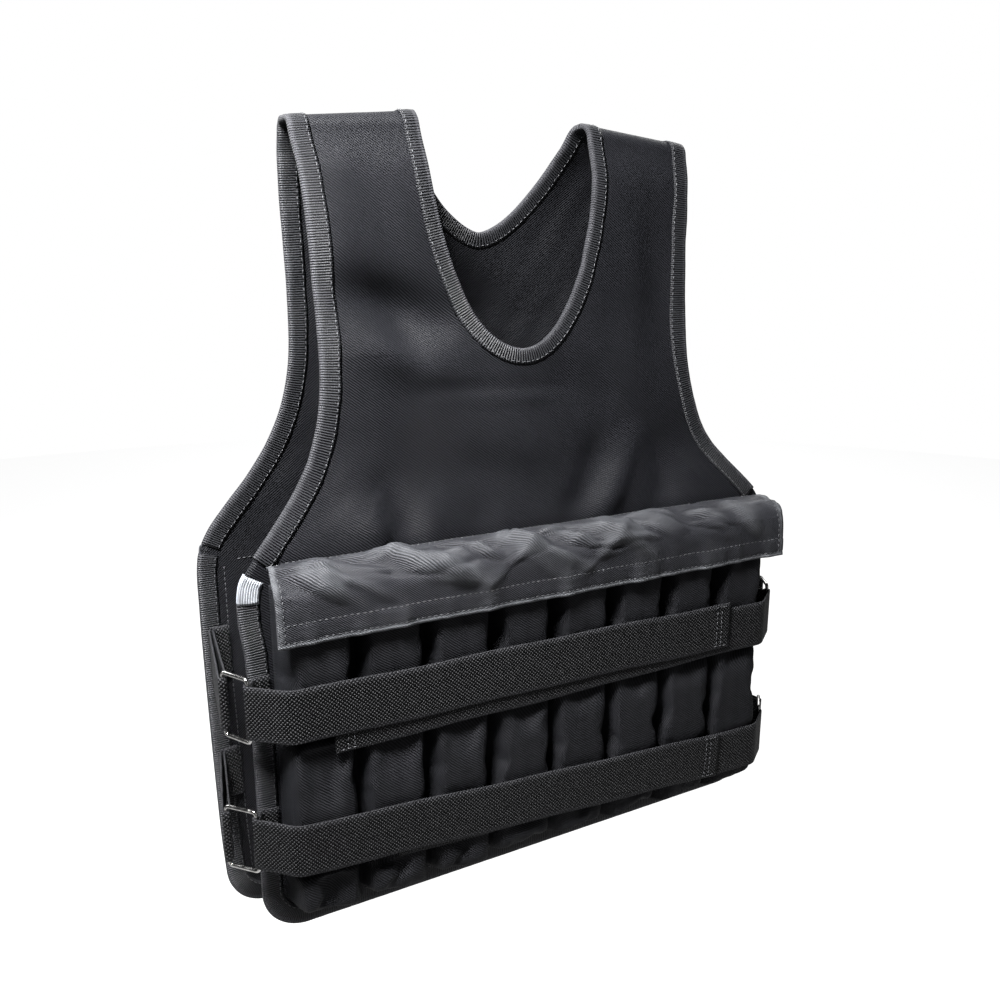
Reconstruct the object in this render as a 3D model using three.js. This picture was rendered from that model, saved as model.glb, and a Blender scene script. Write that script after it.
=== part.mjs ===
import * as THREE from "three";

// Weighted vest, in millimetres. The origin is the middle of the shoulder fold, +Z is up, the front faces -Y.

// Cloth, tape and clearances.
const CLOTH = 2.5;
const FLAP_CLOTH = 2;
const GAP = 0.3;
const TAPE_WIDTH = 13;
const TAPE_THICK = 0.9;
const TAPE_CLEARANCE = 0.8;
const FOLD_THICK = 1.62;

// Panels, measured along the cloth from the shoulder seam.
const FRONT_LENGTH = 562;
const BACK_LENGTH = 596;
const FRONT_HALF = 216;
const BACK_HALF = 226;
const SHOULDER_ROUND = 10;
const FRONT_REACH = 48;
const BACK_REACH = 38;
const FRONT_SWELL = 9;
const BACK_SWELL = 16;
const SHOULDER_MIDDLE = 112;
const SHOULDER_SLOPE = 0.11;
const SHOULDER_FADE = 90;
const HEM_TILT = 0.026;
const CORNER_ROUND = 30;

// Neck hole.
const NECK_HALF = 70;
const FRONT_NECK_DEPTH = 166;
const BACK_NECK_DEPTH = 86;
const BACK_NECK_POWER = 1.5;

// Weight pouches: three strips of cloth a side, each sewn down between its columns.
const COLUMNS = 8;
const FRONT_PITCH = 50.6;
const BACK_PITCH = 52.6;
const POUCH_DEPTH = 31;
const BACK_POUCH_DEPTH = 33;
const STITCH_DEPTH = 4;
const POUCH_CLEARANCE = 2.7;
// Section of a filled column: how square it is across, how much its mouth rounds off, and how fast its ends do.
const PUFF_POWER = 2.6;
const MOUTH_ROUND = 0.28;
const MOUTH_POWER = 9;
const END_POWER = 7;

// Flap over the pouch mouths.
const FLAP_DROP = 43;
const FLAP_OVERHANG = 3;
const FLAP_EXTRA = 4;
const FLAP_LEAN = 0.015;

// Side straps, their rings and the loops that hold the rings to the back.
const WEBBING_WIDTH = 38;
const WEBBING_THICK = 1.4;
const WIRE = 1.4;
const RING_SPAN = 24;
const RING_HEIGHT = 44.6;
const RING_CORNER = 3;
const BAR_REACH = 4.5;
const BAR_FORWARD = 9;
const STRAP_CORNER = 16;
const ANCHOR_LENGTH = 12;
const STRAP_TUCK = 6;

const FRONT = {
  side: -1,
  length: FRONT_LENGTH,
  half: FRONT_HALF,
  reach: FRONT_REACH,
  swell: FRONT_SWELL,
  neckDepth: FRONT_NECK_DEPTH,
  neckPower: 2,
  neckSteps: [16, 30, 44, 58, 70, 80, 90],
  tilt: HEM_TILT,
  // along: share of the length. reach, half and swell: shares of the sizes of the same name.
  rows: [
    { along: 0.000, reach: 0.00, half: 0.732, swell: 0.0 },
    { along: 0.030, reach: 0.03, half: 0.731, swell: 0.1 },
    { along: 0.080, reach: 0.15, half: 0.718, swell: 0.7 },
    { along: 0.160, reach: 0.22, half: 0.704, swell: 1.0 },
    { along: 0.250, reach: 0.30, half: 0.696, swell: 1.0 },
    { along: 0.310, reach: 0.41, half: 0.699, swell: 0.9 },
    { along: 0.345, reach: 0.47, half: 0.708, swell: 0.9 },
    { along: 0.380, reach: 0.53, half: 0.727, swell: 0.8 },
    { along: 0.415, reach: 0.58, half: 0.759, swell: 0.7 },
    { along: 0.445, reach: 0.66, half: 0.803, swell: 0.5 },
    { along: 0.475, reach: 0.79, half: 0.862, swell: 0.3 },
    { along: 0.500, reach: 0.91, half: 0.917, swell: 0.1 },
    { along: 0.525, reach: 1.00, half: 0.972, swell: 0.0 },
    { along: 0.550, reach: 1.00, half: 1.010, swell: 0.0 },
    { along: 0.590, reach: 1.00, half: 1.018, swell: 0.0 },
    { along: 0.640, reach: 1.00, half: 1.004, swell: 0.0 },
    { along: 0.760, reach: 1.00, half: 0.998, swell: 0.0 },
    { along: 1.000, reach: 1.00, half: 1.000, swell: 0.0 },
  ],
};

const BACK = {
  side: 1,
  length: BACK_LENGTH,
  half: BACK_HALF,
  reach: BACK_REACH,
  swell: BACK_SWELL,
  neckDepth: BACK_NECK_DEPTH,
  neckPower: BACK_NECK_POWER,
  neckSteps: [20, 31, 43, 57, 73, 90],
  tilt: 0,
  rows: [
    { along: 0.000, reach: 0.00, half: 0.700, swell: 0.0 },
    { along: 0.030, reach: 0.09, half: 0.699, swell: 0.1 },
    { along: 0.060, reach: 0.28, half: 0.693, swell: 0.2 },
    { along: 0.110, reach: 0.46, half: 0.684, swell: 0.3 },
    { along: 0.200, reach: 0.60, half: 0.668, swell: 0.4 },
    { along: 0.290, reach: 0.66, half: 0.668, swell: 0.5 },
    { along: 0.350, reach: 0.76, half: 0.695, swell: 0.6 },
    { along: 0.400, reach: 0.86, half: 0.748, swell: 0.7 },
    { along: 0.440, reach: 0.93, half: 0.816, swell: 0.8 },
    { along: 0.475, reach: 0.97, half: 0.893, swell: 0.9 },
    { along: 0.510, reach: 1.00, half: 0.962, swell: 1.0 },
    { along: 0.540, reach: 1.00, half: 0.994, swell: 1.0 },
    { along: 0.600, reach: 0.98, half: 1.000, swell: 1.0 },
    { along: 0.700, reach: 0.90, half: 1.000, swell: 1.0 },
    { along: 0.800, reach: 0.72, half: 1.000, swell: 1.0 },
    { along: 0.900, reach: 0.46, half: 1.000, swell: 0.9 },
    { along: 1.000, reach: 0.14, half: 0.995, swell: 0.8 },
  ],
};

// top and bottom: shares of the panel's length. taper: how far the lower edge thins.
const POUCH_ROWS = [
  { name: "top", top: 0.549, bottom: 0.734, taper: 0.30 },
  { name: "middle", top: 0.738, bottom: 0.903, taper: 0.34 },
  { name: "bottom", top: 0.907, taper: 0.75 },
];

// Flap section from its seam to its free edge. down: share of FLAP_DROP. out: share of the pouch depth.
const FLAP_SECTION = [
  { down: 0.00, out: 0.00 },
  { down: -0.04, out: 0.36 },
  { down: 0.00, out: 0.70 },
  { down: 0.12, out: 0.97 },
  { down: 0.34, out: 1.08 },
  { down: 0.64, out: 1.10 },
  { down: 1.00, out: 1.10 },
];

// Gathers along the flap's top. at and width: shares of its half width. depth: share of the pouch depth.
const FLAP_GATHERS = [
  { at: -0.72, width: 0.10, depth: 0.08 },
  { at: -0.44, width: 0.08, depth: 0.13 },
  { at: -0.20, width: 0.11, depth: 0.10 },
  { at: 0.08, width: 0.09, depth: 0.13 },
  { at: 0.34, width: 0.10, depth: 0.11 },
  { at: 0.62, width: 0.09, depth: 0.12 },
  { at: 0.86, width: 0.08, depth: 0.08 },
];

// Strap levels. level: share of FRONT_LENGTH at the middle. slant: fall from left to right.
// overEnd and underEnd: where each strap ends, as shares of FRONT_HALF. flare: degrees the ring stands out.
// underLevel and underSlant: the same two values for the strap that comes from the right and lies beneath.
const STRAPS = [
  {
    name: "upper", level: 0.698, slant: 0.0, underLevel: 0.716, underSlant: -0.023,
    overEnd: 0.745, underEnd: 0.79, flare: 29,
  },
  {
    name: "lower", level: 0.888, slant: 0.051, underLevel: 0.891, underSlant: 0.040,
    overEnd: 0.725, underEnd: 0.59, flare: 42,
  },
];

function material(colour, roughness, metalness = 0) {
  return new THREE.MeshStandardMaterial({ color: colour, roughness, metalness });
}

const clothBlack = material(0x17181b, 0.82);
const pouchBlack = material(0x141518, 0.86);
const tapeBlack = material(0x1b1c1f, 0.78);
const webbingBlack = material(0x1a1a1d, 0.8);
const foldGrey = material(0x4a4d52, 0.7);
const brightWire = material(0xd8dadd, 0.22, 1);

// Smooth reading of one column of a table at a place between its rows.
function column(rows, key, at) {
  let i = 1;
  while (i < rows.length - 1 && rows[i].along < at) {
    i += 1;
  }
  const a = rows[i - 1];
  const b = rows[i];
  const before = rows[i - 2] ?? a;
  const after = rows[i + 1] ?? b;
  const run = b.along - a.along;
  const t = THREE.MathUtils.clamp((at - a.along) / run, 0, 1);
  const slopeA = i > 1 ? (b[key] - before[key]) / (b.along - before.along) : 0;
  const slopeB = i < rows.length - 1 ? (after[key] - a[key]) / (after.along - a.along) : 0;
  const h = t * t * (3 - 2 * t);
  const bend = t * (1 - t) * ((1 - t) * slopeA - t * slopeB) * run;
  return a[key] * (1 - h) + b[key] * h + bend;
}

// The way a panel hangs, walked down the cloth a millimetre at a time.
function hangingProfile(panel) {
  const forward = [];
  const down = [0];
  const steps = panel.length + 40;
  for (let s = 0; s <= steps; s += 1) {
    const fold = SHOULDER_ROUND * Math.sin(Math.min(s / SHOULDER_ROUND, Math.PI / 2));
    forward.push(fold + panel.reach * column(panel.rows, "reach", Math.min(s / panel.length, 1)));
  }
  for (let s = 1; s <= steps; s += 1) {
    const step = Math.min(Math.abs(forward[s] - forward[s - 1]), 1);
    down.push(down[s - 1] + Math.sqrt(1 - step * step));
  }
  return { forward, down };
}

function reading(list, at) {
  const i = Math.min(Math.floor(at), list.length - 2);
  return THREE.MathUtils.lerp(list[i], list[i + 1], at - i);
}

FRONT.hang = hangingProfile(FRONT);
BACK.hang = hangingProfile(BACK);

function halfWidth(panel, s) {
  return panel.half * column(panel.rows, "half", s / panel.length);
}

// Middle of the cloth. s runs from 0 at the shoulder seam, + down the front and - down the back.
function clothMiddle(x, s) {
  const panel = s >= 0 ? FRONT : BACK;
  const along = Math.abs(s);
  const share = Math.min(along / panel.length, 1);
  const across = Math.min(Math.abs(x) / panel.half, 1);
  const swell = panel.swell * column(panel.rows, "swell", share) * (1 - across * across);
  const fade = Math.max(1 - along / SHOULDER_FADE, 0);
  const slope = SHOULDER_SLOPE * (SHOULDER_MIDDLE - Math.abs(x)) * fade * fade;
  const tilt = panel.tilt * x * share * share;
  const y = panel.side * (reading(panel.hang.forward, along) + swell);
  return new THREE.Vector3(x, y, slope + tilt - reading(panel.hang.down, along));
}

// A point that stands off the cloth, + on the outside and - on the wearer's side.
function offCloth(x, s, out) {
  const step = 0.5;
  const across = clothMiddle(x + step, s).sub(clothMiddle(x - step, s));
  const along = clothMiddle(x, s + step).sub(clothMiddle(x, s - step));
  const inward = across.cross(along).normalize();
  return clothMiddle(x, s).addScaledVector(inward, -out);
}

// A mesh from shared points and triangles, turned so that its faces look out.
function solid(points, triangles) {
  const position = new Float32Array(points.flatMap((p) => [p.x, p.y, p.z]));
  let volume = 0;
  const cross = new THREE.Vector3();
  for (const [a, b, c] of triangles) {
    volume += points[a].dot(cross.crossVectors(points[b], points[c]));
  }
  const index = triangles.flatMap(([a, b, c]) => (volume < 0 ? [a, c, b] : [a, b, c]));
  const geometry = new THREE.BufferGeometry();
  geometry.setAttribute("position", new THREE.BufferAttribute(position, 3));
  geometry.setIndex(index);
  geometry.computeVertexNormals();
  return geometry;
}

// Closes a sheet of cloth: its outer face, its inner face and a wall round every free edge.
function sheet(outer, inner, triangles) {
  const count = outer.length;
  const faces = [];
  const edges = new Map();
  for (const [a, b, c] of triangles) {
    faces.push([a, b, c], [c + count, b + count, a + count]);
    for (const [from, to] of [[a, b], [b, c], [c, a]]) {
      if (!edges.delete(`${to},${from}`)) {
        edges.set(`${from},${to}`, [from, to]);
      }
    }
  }
  for (const [from, to] of edges.values()) {
    faces.push([to, from, from + count], [to, from + count, to + count]);
  }
  return solid([...outer, ...inner], faces);
}

function gridTriangles(rows, columns, at = (r, c) => r * columns + c) {
  const triangles = [];
  for (let r = 0; r < rows - 1; r += 1) {
    for (let c = 0; c < columns - 1; c += 1) {
      const corners = [at(r, c), at(r, c + 1), at(r + 1, c + 1), at(r + 1, c)];
      triangles.push([corners[0], corners[1], corners[2]], [corners[0], corners[2], corners[3]]);
    }
  }
  return triangles;
}

// A section of fixed corners carried through stations, closed at its ends or joined to its start.
function sweep(stations, endQuads, loop = false) {
  const corners = stations[0].length;
  const points = stations.flat();
  const faces = [];
  const spans = loop ? stations.length : stations.length - 1;
  for (let i = 0; i < spans; i += 1) {
    const near = i * corners;
    const far = ((i + 1) % stations.length) * corners;
    for (let c = 0; c < corners; c += 1) {
      const d = (c + 1) % corners;
      faces.push([near + c, near + d, far + d], [near + c, far + d, far + c]);
    }
  }
  if (!loop) {
    const last = (stations.length - 1) * corners;
    for (const [a, b, c, d] of endQuads) {
      faces.push([c, b, a], [d, c, a]);
      faces.push([last + a, last + b, last + c], [last + a, last + c, last + d]);
    }
  }
  return solid(points, faces);
}

// Rows of the cutting pattern, from the seam to the hem, each with its outer and neck half widths.
function patternRows(panel) {
  const rows = [];
  const add = (s, half, neck) => rows.push({ s, half, neck });
  for (const turn of [0, 0.35, 0.7, 1.05, 1.4, 1.9, 2.5]) {
    const s = Math.max(SHOULDER_ROUND * turn, GAP / 2);
    add(s, halfWidth(panel, s), neckHalf(panel, s));
  }
  for (const degrees of panel.neckSteps) {
    const s = panel.neckDepth * Math.sin(THREE.MathUtils.degToRad(degrees));
    add(s, halfWidth(panel, s), neckHalf(panel, s));
  }
  const straightEnd = panel.length - CORNER_ROUND;
  for (const row of panel.rows) {
    const s = row.along * panel.length;
    if (s > panel.neckDepth + 8 && s < straightEnd - 8) {
      add(s, halfWidth(panel, s), 0);
    }
  }
  for (const degrees of [0, 30, 60, 90]) {
    const turn = THREE.MathUtils.degToRad(degrees);
    const s = straightEnd + CORNER_ROUND * Math.sin(turn);
    add(s, halfWidth(panel, s) - CORNER_ROUND * (1 - Math.cos(turn)), 0);
  }
  return rows;
}

function neckHalf(panel, s) {
  const share = Math.min(s / panel.neckDepth, 1);
  return NECK_HALF * Math.pow(Math.max(1 - Math.pow(share, panel.neckPower), 0), 1 / panel.neckPower);
}

// Places across one row of the pattern, from the armhole edge to the neck edge or the middle.
function patternColumns({ half, neck }) {
  const outer = half - TAPE_WIDTH;
  const inner = neck + TAPE_WIDTH;
  return [half, ...[1, 0.68, 0.34, 0].map((t) => THREE.MathUtils.lerp(inner, outer, t)), neck];
}

function panelGeometry(panel) {
  const rows = patternRows(panel);
  const spots = [];
  const known = new Map();
  const spot = (x, s) => {
    const key = `${x.toFixed(4)},${s.toFixed(4)}`;
    if (!known.has(key)) {
      known.set(key, spots.length);
      spots.push([x, s * -panel.side]);
    }
    return known.get(key);
  };
  const triangles = [];
  for (const hand of [-1, 1]) {
    const grid = rows.map((row) => patternColumns(row).map((x) => spot(hand * x + 0, row.s)));
    const faces = gridTriangles(rows.length, grid[0].length, (r, c) => grid[r][c]);
    triangles.push(...(hand < 0 ? faces : faces.map(([a, b, c]) => [a, c, b])));
  }
  const outer = spots.map(([x, s]) => offCloth(x, s, CLOTH / 2));
  const inner = spots.map(([x, s]) => offCloth(x, s, -CLOTH / 2));
  return sheet(outer, inner, triangles);
}

// Tape folded over a cloth edge. The edge is a line on the cutting pattern, with the cloth on its left.
function foldedTape(edge, { loop = false, thick = TAPE_THICK, squareEnds = false, clothOn = 1 } = {}) {
  const lift = TAPE_CLEARANCE;
  const near = CLOTH / 2 + lift;
  const far = near + thick;
  const last = edge.length - 1;
  const stations = edge.map(([x, s], i) => {
    const before = edge[i > 0 ? i - 1 : loop ? last : 0];
    const after = edge[i < last ? i + 1 : loop ? 0 : last];
    const run = Math.hypot(after[0] - before[0], after[1] - before[1]);
    const square = squareEnds && (i === 0 || i === last);
    const inX = clothOn * (square ? Math.sign(before[1] - after[1]) : (before[1] - after[1]) / run);
    const inS = clothOn * (square ? 0 : (after[0] - before[0]) / run);
    const place = (inside, out) => offCloth(x + inX * inside, s + inS * inside, out);
    return [
      place(TAPE_WIDTH, far), place(-lift - thick, far), place(-lift - thick, -far), place(TAPE_WIDTH, -far),
      place(TAPE_WIDTH, -near), place(-lift, -near), place(-lift, near), place(TAPE_WIDTH, near),
    ];
  });
  return sweep(stations, [[0, 1, 6, 7], [1, 2, 5, 6], [2, 3, 4, 5]], loop);
}

// Edge of one panel as pattern points, from the seam down to the length given.
function armholeEdge(panel, hand, end) {
  const rows = patternRows(panel).filter((row) => row.s < end - 4);
  const points = rows.map((row) => [hand * row.half, row.s * -panel.side]);
  points.push([hand * halfWidth(panel, end), end * -panel.side]);
  return points;
}

function hemEdge(panel, start) {
  const rows = patternRows(panel).filter((row) => row.s > start + 4);
  const down = [[halfWidth(panel, start), start], ...rows.map((row) => [row.half, row.s])];
  const left = down.map(([x, s]) => [-x, s * -panel.side]);
  const right = down.map(([x, s]) => [x, s * -panel.side]).reverse();
  const inside = patternColumns(rows[rows.length - 1]).slice(1);
  const across = [...inside.map((x) => -x), ...inside.slice(0, -1).reverse()];
  return [...left, ...across.map((x) => [x, panel.length * -panel.side]), ...right];
}

const FLAP_SEAM = POUCH_ROWS[0].top - 0.018;

function cornerStart(panel) {
  return (FLAP_SEAM + 0.006) * panel.length;
}

function cornerEnd(panel) {
  return cornerStart(panel) + TAPE_WIDTH * 1.5;
}

function neckEdge() {
  const points = [];
  for (const panel of [FRONT, BACK]) {
    const rows = patternRows(panel).filter((row) => row.s <= panel.neckDepth);
    const hand = panel === FRONT ? 1 : -1;
    const near = rows.filter((row) => row.neck > 0).map((row) => [hand * row.neck, row.s * -panel.side]);
    const far = near.map(([x, s]) => [-x, s]).reverse();
    points.push(...near, [0, panel.neckDepth * -panel.side], ...far);
  }
  return points;
}

// Half width left between the tapes, down into the rounded lower corners.
function insideTape(panel, s) {
  const below = Math.max(s - (panel.length - CORNER_ROUND), 0);
  const turn = CORNER_ROUND - TAPE_WIDTH - 2 * TAPE_CLEARANCE;
  return panel.half - CORNER_ROUND + Math.sqrt(turn * turn - below * below);
}

// Lower end of a strip of pouches. The last strip ends above the hem tape.
function pouchEnd(panel, row) {
  return row.bottom ? row.bottom * panel.length : panel.length - TAPE_WIDTH - POUCH_CLEARANCE;
}

// One strip of pouches: puffed columns with sewn valleys, standing on the panel.
function pouchRow(panel, pitch, depth, row, columnSteps, rowSteps) {
  const top = row.top * panel.length;
  const height = pouchEnd(panel, row) - top;
  const base = CLOTH / 2 + GAP;
  const columns = COLUMNS * columnSteps + 1;
  const outer = [];
  const inner = [];
  for (let r = 0; r <= rowSteps; r += 1) {
    const v = r / rowSteps;
    const roundMouth = Math.sqrt(1 - Math.pow(1 - v, MOUTH_POWER));
    const roundEnd = Math.sqrt(1 - Math.pow(v, END_POWER));
    const rise = (1 - MOUTH_ROUND + MOUTH_ROUND * roundMouth) * (1 - row.taper + row.taper * roundEnd);
    const narrow = Math.min(insideTape(panel, top + height * v) / ((pitch * COLUMNS) / 2), 1);
    for (let c = 0; c < columns; c += 1) {
      const x = (c / columnSteps - COLUMNS / 2) * pitch * narrow;
      const u = Math.abs(((c % columnSteps) / columnSteps) * 2 - 1);
      const puff = Math.pow(1 - Math.pow(u, PUFF_POWER), 1 / PUFF_POWER);
      const out = STITCH_DEPTH + (depth - STITCH_DEPTH) * puff * rise;
      const s = (top + height * v) * -panel.side;
      outer.push(offCloth(x, s, base + out));
      inner.push(offCloth(x, s, base));
    }
  }
  return sheet(outer, inner, gridTriangles(rowSteps + 1, columns));
}

function gatherAt(share) {
  let sum = 0;
  for (const gather of FLAP_GATHERS) {
    const t = (share - gather.at) / gather.width;
    sum += gather.depth * Math.exp(-t * t);
  }
  return sum;
}

// The flap: sewn along its top, over the pouch mouths and down their fronts.
function flapGeometry(panel, pitch, depth) {
  const half = (pitch * COLUMNS) / 2 + FLAP_OVERHANG;
  const seam = FLAP_SEAM * panel.length;
  const across = 20;
  const seat = CLOTH / 2 + GAP;
  const outer = [];
  const inner = [];
  for (let r = 0; r < FLAP_SECTION.length; r += 1) {
    const before = FLAP_SECTION[Math.max(r - 1, 0)];
    const after = FLAP_SECTION[Math.min(r + 1, FLAP_SECTION.length - 1)];
    const down = (after.down - before.down) * FLAP_DROP;
    const out = (after.out - before.out) * depth;
    const run = Math.hypot(down, out);
    const { down: downShare, out: outShare } = FLAP_SECTION[r];
    for (let c = 0; c <= across; c += 1) {
      const share = (c / across) * 2 - 1;
      const sag = gatherAt(share) * depth * Math.sin(Math.min(outShare, 1) * Math.PI);
      const lean = 1 - FLAP_LEAN * Math.max(1 - outShare, 0);
      const lift = Math.abs(share) >= 0.9 ? FOLD_THICK + TAPE_CLEARANCE : 0;
      const overTape = lift * (1 - Math.min(outShare, 1));
      const x = share * half * lean + (share > 0 ? FLAP_EXTRA * share * outShare : 0);
      for (const [list, wall] of [[outer, FLAP_CLOTH / 2], [inner, -FLAP_CLOTH / 2]]) {
        const s = seam + downShare * FLAP_DROP - (out / run) * wall + sag;
        list.push(offCloth(x, s * -panel.side, seat + overTape + outShare * depth + (down / run) * wall));
      }
    }
  }
  return sheet(outer, inner, gridTriangles(FLAP_SECTION.length, across + 1));
}

// A flat band whose middle line is a plan path, given apart for its upper and its lower edge.
function band(upperPath, lowerPath) {
  const sides = (path) => path.map((p, i) => {
    const before = path[Math.max(i - 1, 0)];
    const after = path[Math.min(i + 1, path.length - 1)];
    const normal = new THREE.Vector3(before.y - after.y, after.x - before.x, 0).normalize();
    const half = WEBBING_THICK / 2;
    return [p.clone().addScaledVector(normal, half), p.clone().addScaledVector(normal, -half)];
  });
  const upper = sides(upperPath);
  const lower = sides(lowerPath);
  const stations = upper.map(([a, b], i) => [a, b, lower[i][1], lower[i][0]]);
  return sweep(stations, [[0, 1, 2, 3]]);
}

// Height of a strap's middle at a place across the front. hand is 1 for the strap that comes from the left.
function strapHeight(strap, hand, x) {
  const level = hand > 0 ? strap.level : strap.underLevel;
  const slant = hand > 0 ? strap.slant : strap.underSlant;
  return clothMiddle(0, level * FRONT_LENGTH).z - slant * x;
}

const FRONT_FACE = FRONT_REACH + SHOULDER_ROUND + CLOTH / 2 + GAP + POUCH_DEPTH;
const UNDER_LAYER = FRONT_FACE + GAP + WEBBING_THICK / 2;
const OVER_LAYER = UNDER_LAYER + GAP + WEBBING_THICK;
const OVER_TAPE = CLOTH / 2 + TAPE_CLEARANCE + TAPE_THICK + GAP;
const ANCHOR_LAYER = FRONT_REACH + SHOULDER_ROUND + OVER_TAPE + WEBBING_THICK / 2;
const WRAP = WIRE + GAP + WEBBING_THICK / 2;

// Plan places of a ring's two upright bars, for the left side, where x is below zero.
function ringBars(strap) {
  const flare = THREE.MathUtils.degToRad(strap.flare);
  const front = new THREE.Vector3(-FRONT_HALF - BAR_REACH, -ANCHOR_LAYER - BAR_FORWARD, 0);
  const way = new THREE.Vector3(-Math.sin(flare), Math.cos(flare), 0);
  return { front, back: front.clone().addScaledVector(way, RING_SPAN), way };
}

// Points of an arc in plan, in degrees counted from +X towards +Y.
function arc(centre, radius, from, to, steps) {
  const points = [];
  for (let i = 0; i <= steps; i += 1) {
    const turn = THREE.MathUtils.degToRad(THREE.MathUtils.lerp(from, to, i / steps));
    points.push(new THREE.Vector3(centre.x + radius * Math.cos(turn), centre.y + radius * Math.sin(turn), 0));
  }
  return points;
}

// Strap on the left: from its free end across the front, round the end column and the ring's bar, to its anchor.
function strapPath(strap, layer, endX) {
  const { front } = ringBars(strap);
  const turnX = -(FRONT_PITCH * COLUMNS) / 2 + STRAP_CORNER - STRAP_TUCK;
  const corner = new THREE.Vector3(turnX, -layer + STRAP_CORNER, 0);
  const path = [];
  const steps = 10;
  for (let i = 0; i < steps; i += 1) {
    path.push(new THREE.Vector3(THREE.MathUtils.lerp(endX, turnX, i / steps), -layer, 0));
  }
  path.push(...arc(corner, STRAP_CORNER, -90, -134, 4));
  path.push(...arc(front, WRAP, -140, -330, 6));
  path.push(new THREE.Vector3(-FRONT_HALF + 1, -ANCHOR_LAYER, 0));
  path.push(new THREE.Vector3(-FRONT_HALF + ANCHOR_LENGTH, -ANCHOR_LAYER, 0));
  return path;
}

function strapGeometry(strap, layer, endX, hand) {
  const path = strapPath(strap, layer, endX);
  const edge = (raise) => path.map((p) => {
    const x = hand * p.x;
    return new THREE.Vector3(x, p.y, strapHeight(strap, hand, x) + raise);
  });
  return band(edge(WEBBING_WIDTH / 2), edge(-WEBBING_WIDTH / 2));
}

function ringGeometry(strap, hand) {
  const { front, back, way } = ringBars(strap);
  const middle = front.clone().add(back).multiplyScalar(0.5);
  const height = strapHeight(strap, hand, hand * middle.x);
  const halfSpan = RING_SPAN / 2 - RING_CORNER;
  const halfHeight = RING_HEIGHT / 2 - RING_CORNER;
  const across = new THREE.Vector3(hand * way.x, way.y, 0);
  const level = new THREE.Vector3(hand * middle.x, middle.y, height);
  const outward = new THREE.Vector3(-across.y, across.x, 0);
  const stations = [];
  for (const [cornerX, cornerZ, from] of [[1, 1, 0], [-1, 1, 90], [-1, -1, 180], [1, -1, 270]]) {
    for (let i = 0; i <= 3; i += 1) {
      const turn = THREE.MathUtils.degToRad(from + i * 30);
      const radial = across.clone().multiplyScalar(Math.cos(turn));
      radial.z += Math.sin(turn);
      const centre = level.clone().addScaledVector(across, cornerX * halfSpan);
      centre.z += cornerZ * halfHeight;
      centre.addScaledVector(radial, RING_CORNER);
      stations.push([0, 1, 2, 3, 4, 5].map((k) => {
        const angle = (k * Math.PI) / 3;
        const point = centre.clone().addScaledVector(radial, WIRE * Math.cos(angle));
        return point.addScaledVector(outward, WIRE * Math.sin(angle));
      }));
    }
  }
  return sweep(stations, [], true);
}

// A length of webbing round the ring's rear bar, both ends sewn inside the back panel's edge.
function loopGeometry(strap, hand) {
  const { back } = ringBars(strap);
  const height = strapHeight(strap, hand, hand * back.x);
  const fold = new THREE.Vector3(0, -4, 0);
  const edge = (raise) => {
    const s = backCloth(height + raise);
    const sewn = (x, layer) => {
      const out = -(OVER_TAPE + GAP + WEBBING_THICK * (layer + 0.5) + GAP * layer);
      return offCloth(x, -s, out);
    };
    const anchorX = -BACK_HALF + TAPE_WIDTH + 4;
    const bendX = -BACK_HALF + 3;
    const path = [sewn(anchorX, 1), sewn(bendX + 4, 1)];
    const pull = sewn(bendX, 0).sub(back);
    const heading = THREE.MathUtils.radToDeg(Math.atan2(pull.y, pull.x));
    path.push(sewn(bendX + 1.6, 1).add(fold), ...arc(back, WRAP, heading - 84, heading - 276, 6));
    path.push(sewn(bendX - 0.6, 0).add(fold), sewn(bendX + 2, 0), sewn(anchorX, 0));
    return path.map((p) => new THREE.Vector3(hand * p.x, p.y, height + raise));
  };
  return band(edge(WEBBING_WIDTH / 2), edge(-WEBBING_WIDTH / 2));
}

// Length down the back cloth at which it reaches a height.
function backCloth(height) {
  const list = BACK.hang.down;
  let s = 0;
  while (s < list.length - 2 && list[s] < -height) {
    s += 1;
  }
  return s;
}

const vest = new THREE.Group();

function add(name, geometry, finish) {
  const mesh = new THREE.Mesh(geometry, finish);
  mesh.name = name;
  vest.add(mesh);
}

add("front_panel", panelGeometry(FRONT), clothBlack);
add("back_panel", panelGeometry(BACK), clothBlack);
add("neck_binding", foldedTape(neckEdge().reverse(), { loop: true }), tapeBlack);

for (const [name, hand] of [["left", -1], ["right", 1]]) {
  const front = armholeEdge(FRONT, hand, cornerStart(FRONT) - TAPE_WIDTH * 0.7).reverse();
  const back = armholeEdge(BACK, hand, BACK.length * FLAP_SEAM - TAPE_WIDTH * 0.5);
  const edge = [...front, ...back];
  add(`armhole_binding_${name}`, foldedTape(edge, { clothOn: -hand }), tapeBlack);
}

const frontHem = hemEdge(FRONT, cornerEnd(FRONT) + GAP).reverse();
const backHem = hemEdge(BACK, BACK.length * FLAP_SEAM + GAP);
add("front_hem_binding", foldedTape(frontHem, { squareEnds: true }), tapeBlack);
add("back_hem_binding", foldedTape(backHem, { squareEnds: true }), tapeBlack);

for (const [name, hand] of [["left", -1], ["right", 1]]) {
  const start = cornerStart(FRONT) + GAP;
  const edge = [start, (start + cornerEnd(FRONT)) / 2, cornerEnd(FRONT)].map((s) => [hand * halfWidth(FRONT, s), s]);
  const fold = foldedTape(hand < 0 ? edge.reverse() : edge, { thick: FOLD_THICK, squareEnds: true });
  add(`corner_fold_${name}`, fold, foldGrey);
}

for (const row of POUCH_ROWS) {
  add(`front_pouches_${row.name}`, pouchRow(FRONT, FRONT_PITCH, POUCH_DEPTH, row, 4, 4), pouchBlack);
}
for (const row of POUCH_ROWS) {
  add(`back_pouches_${row.name}`, pouchRow(BACK, BACK_PITCH, BACK_POUCH_DEPTH, row, 4, 3), pouchBlack);
}

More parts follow.
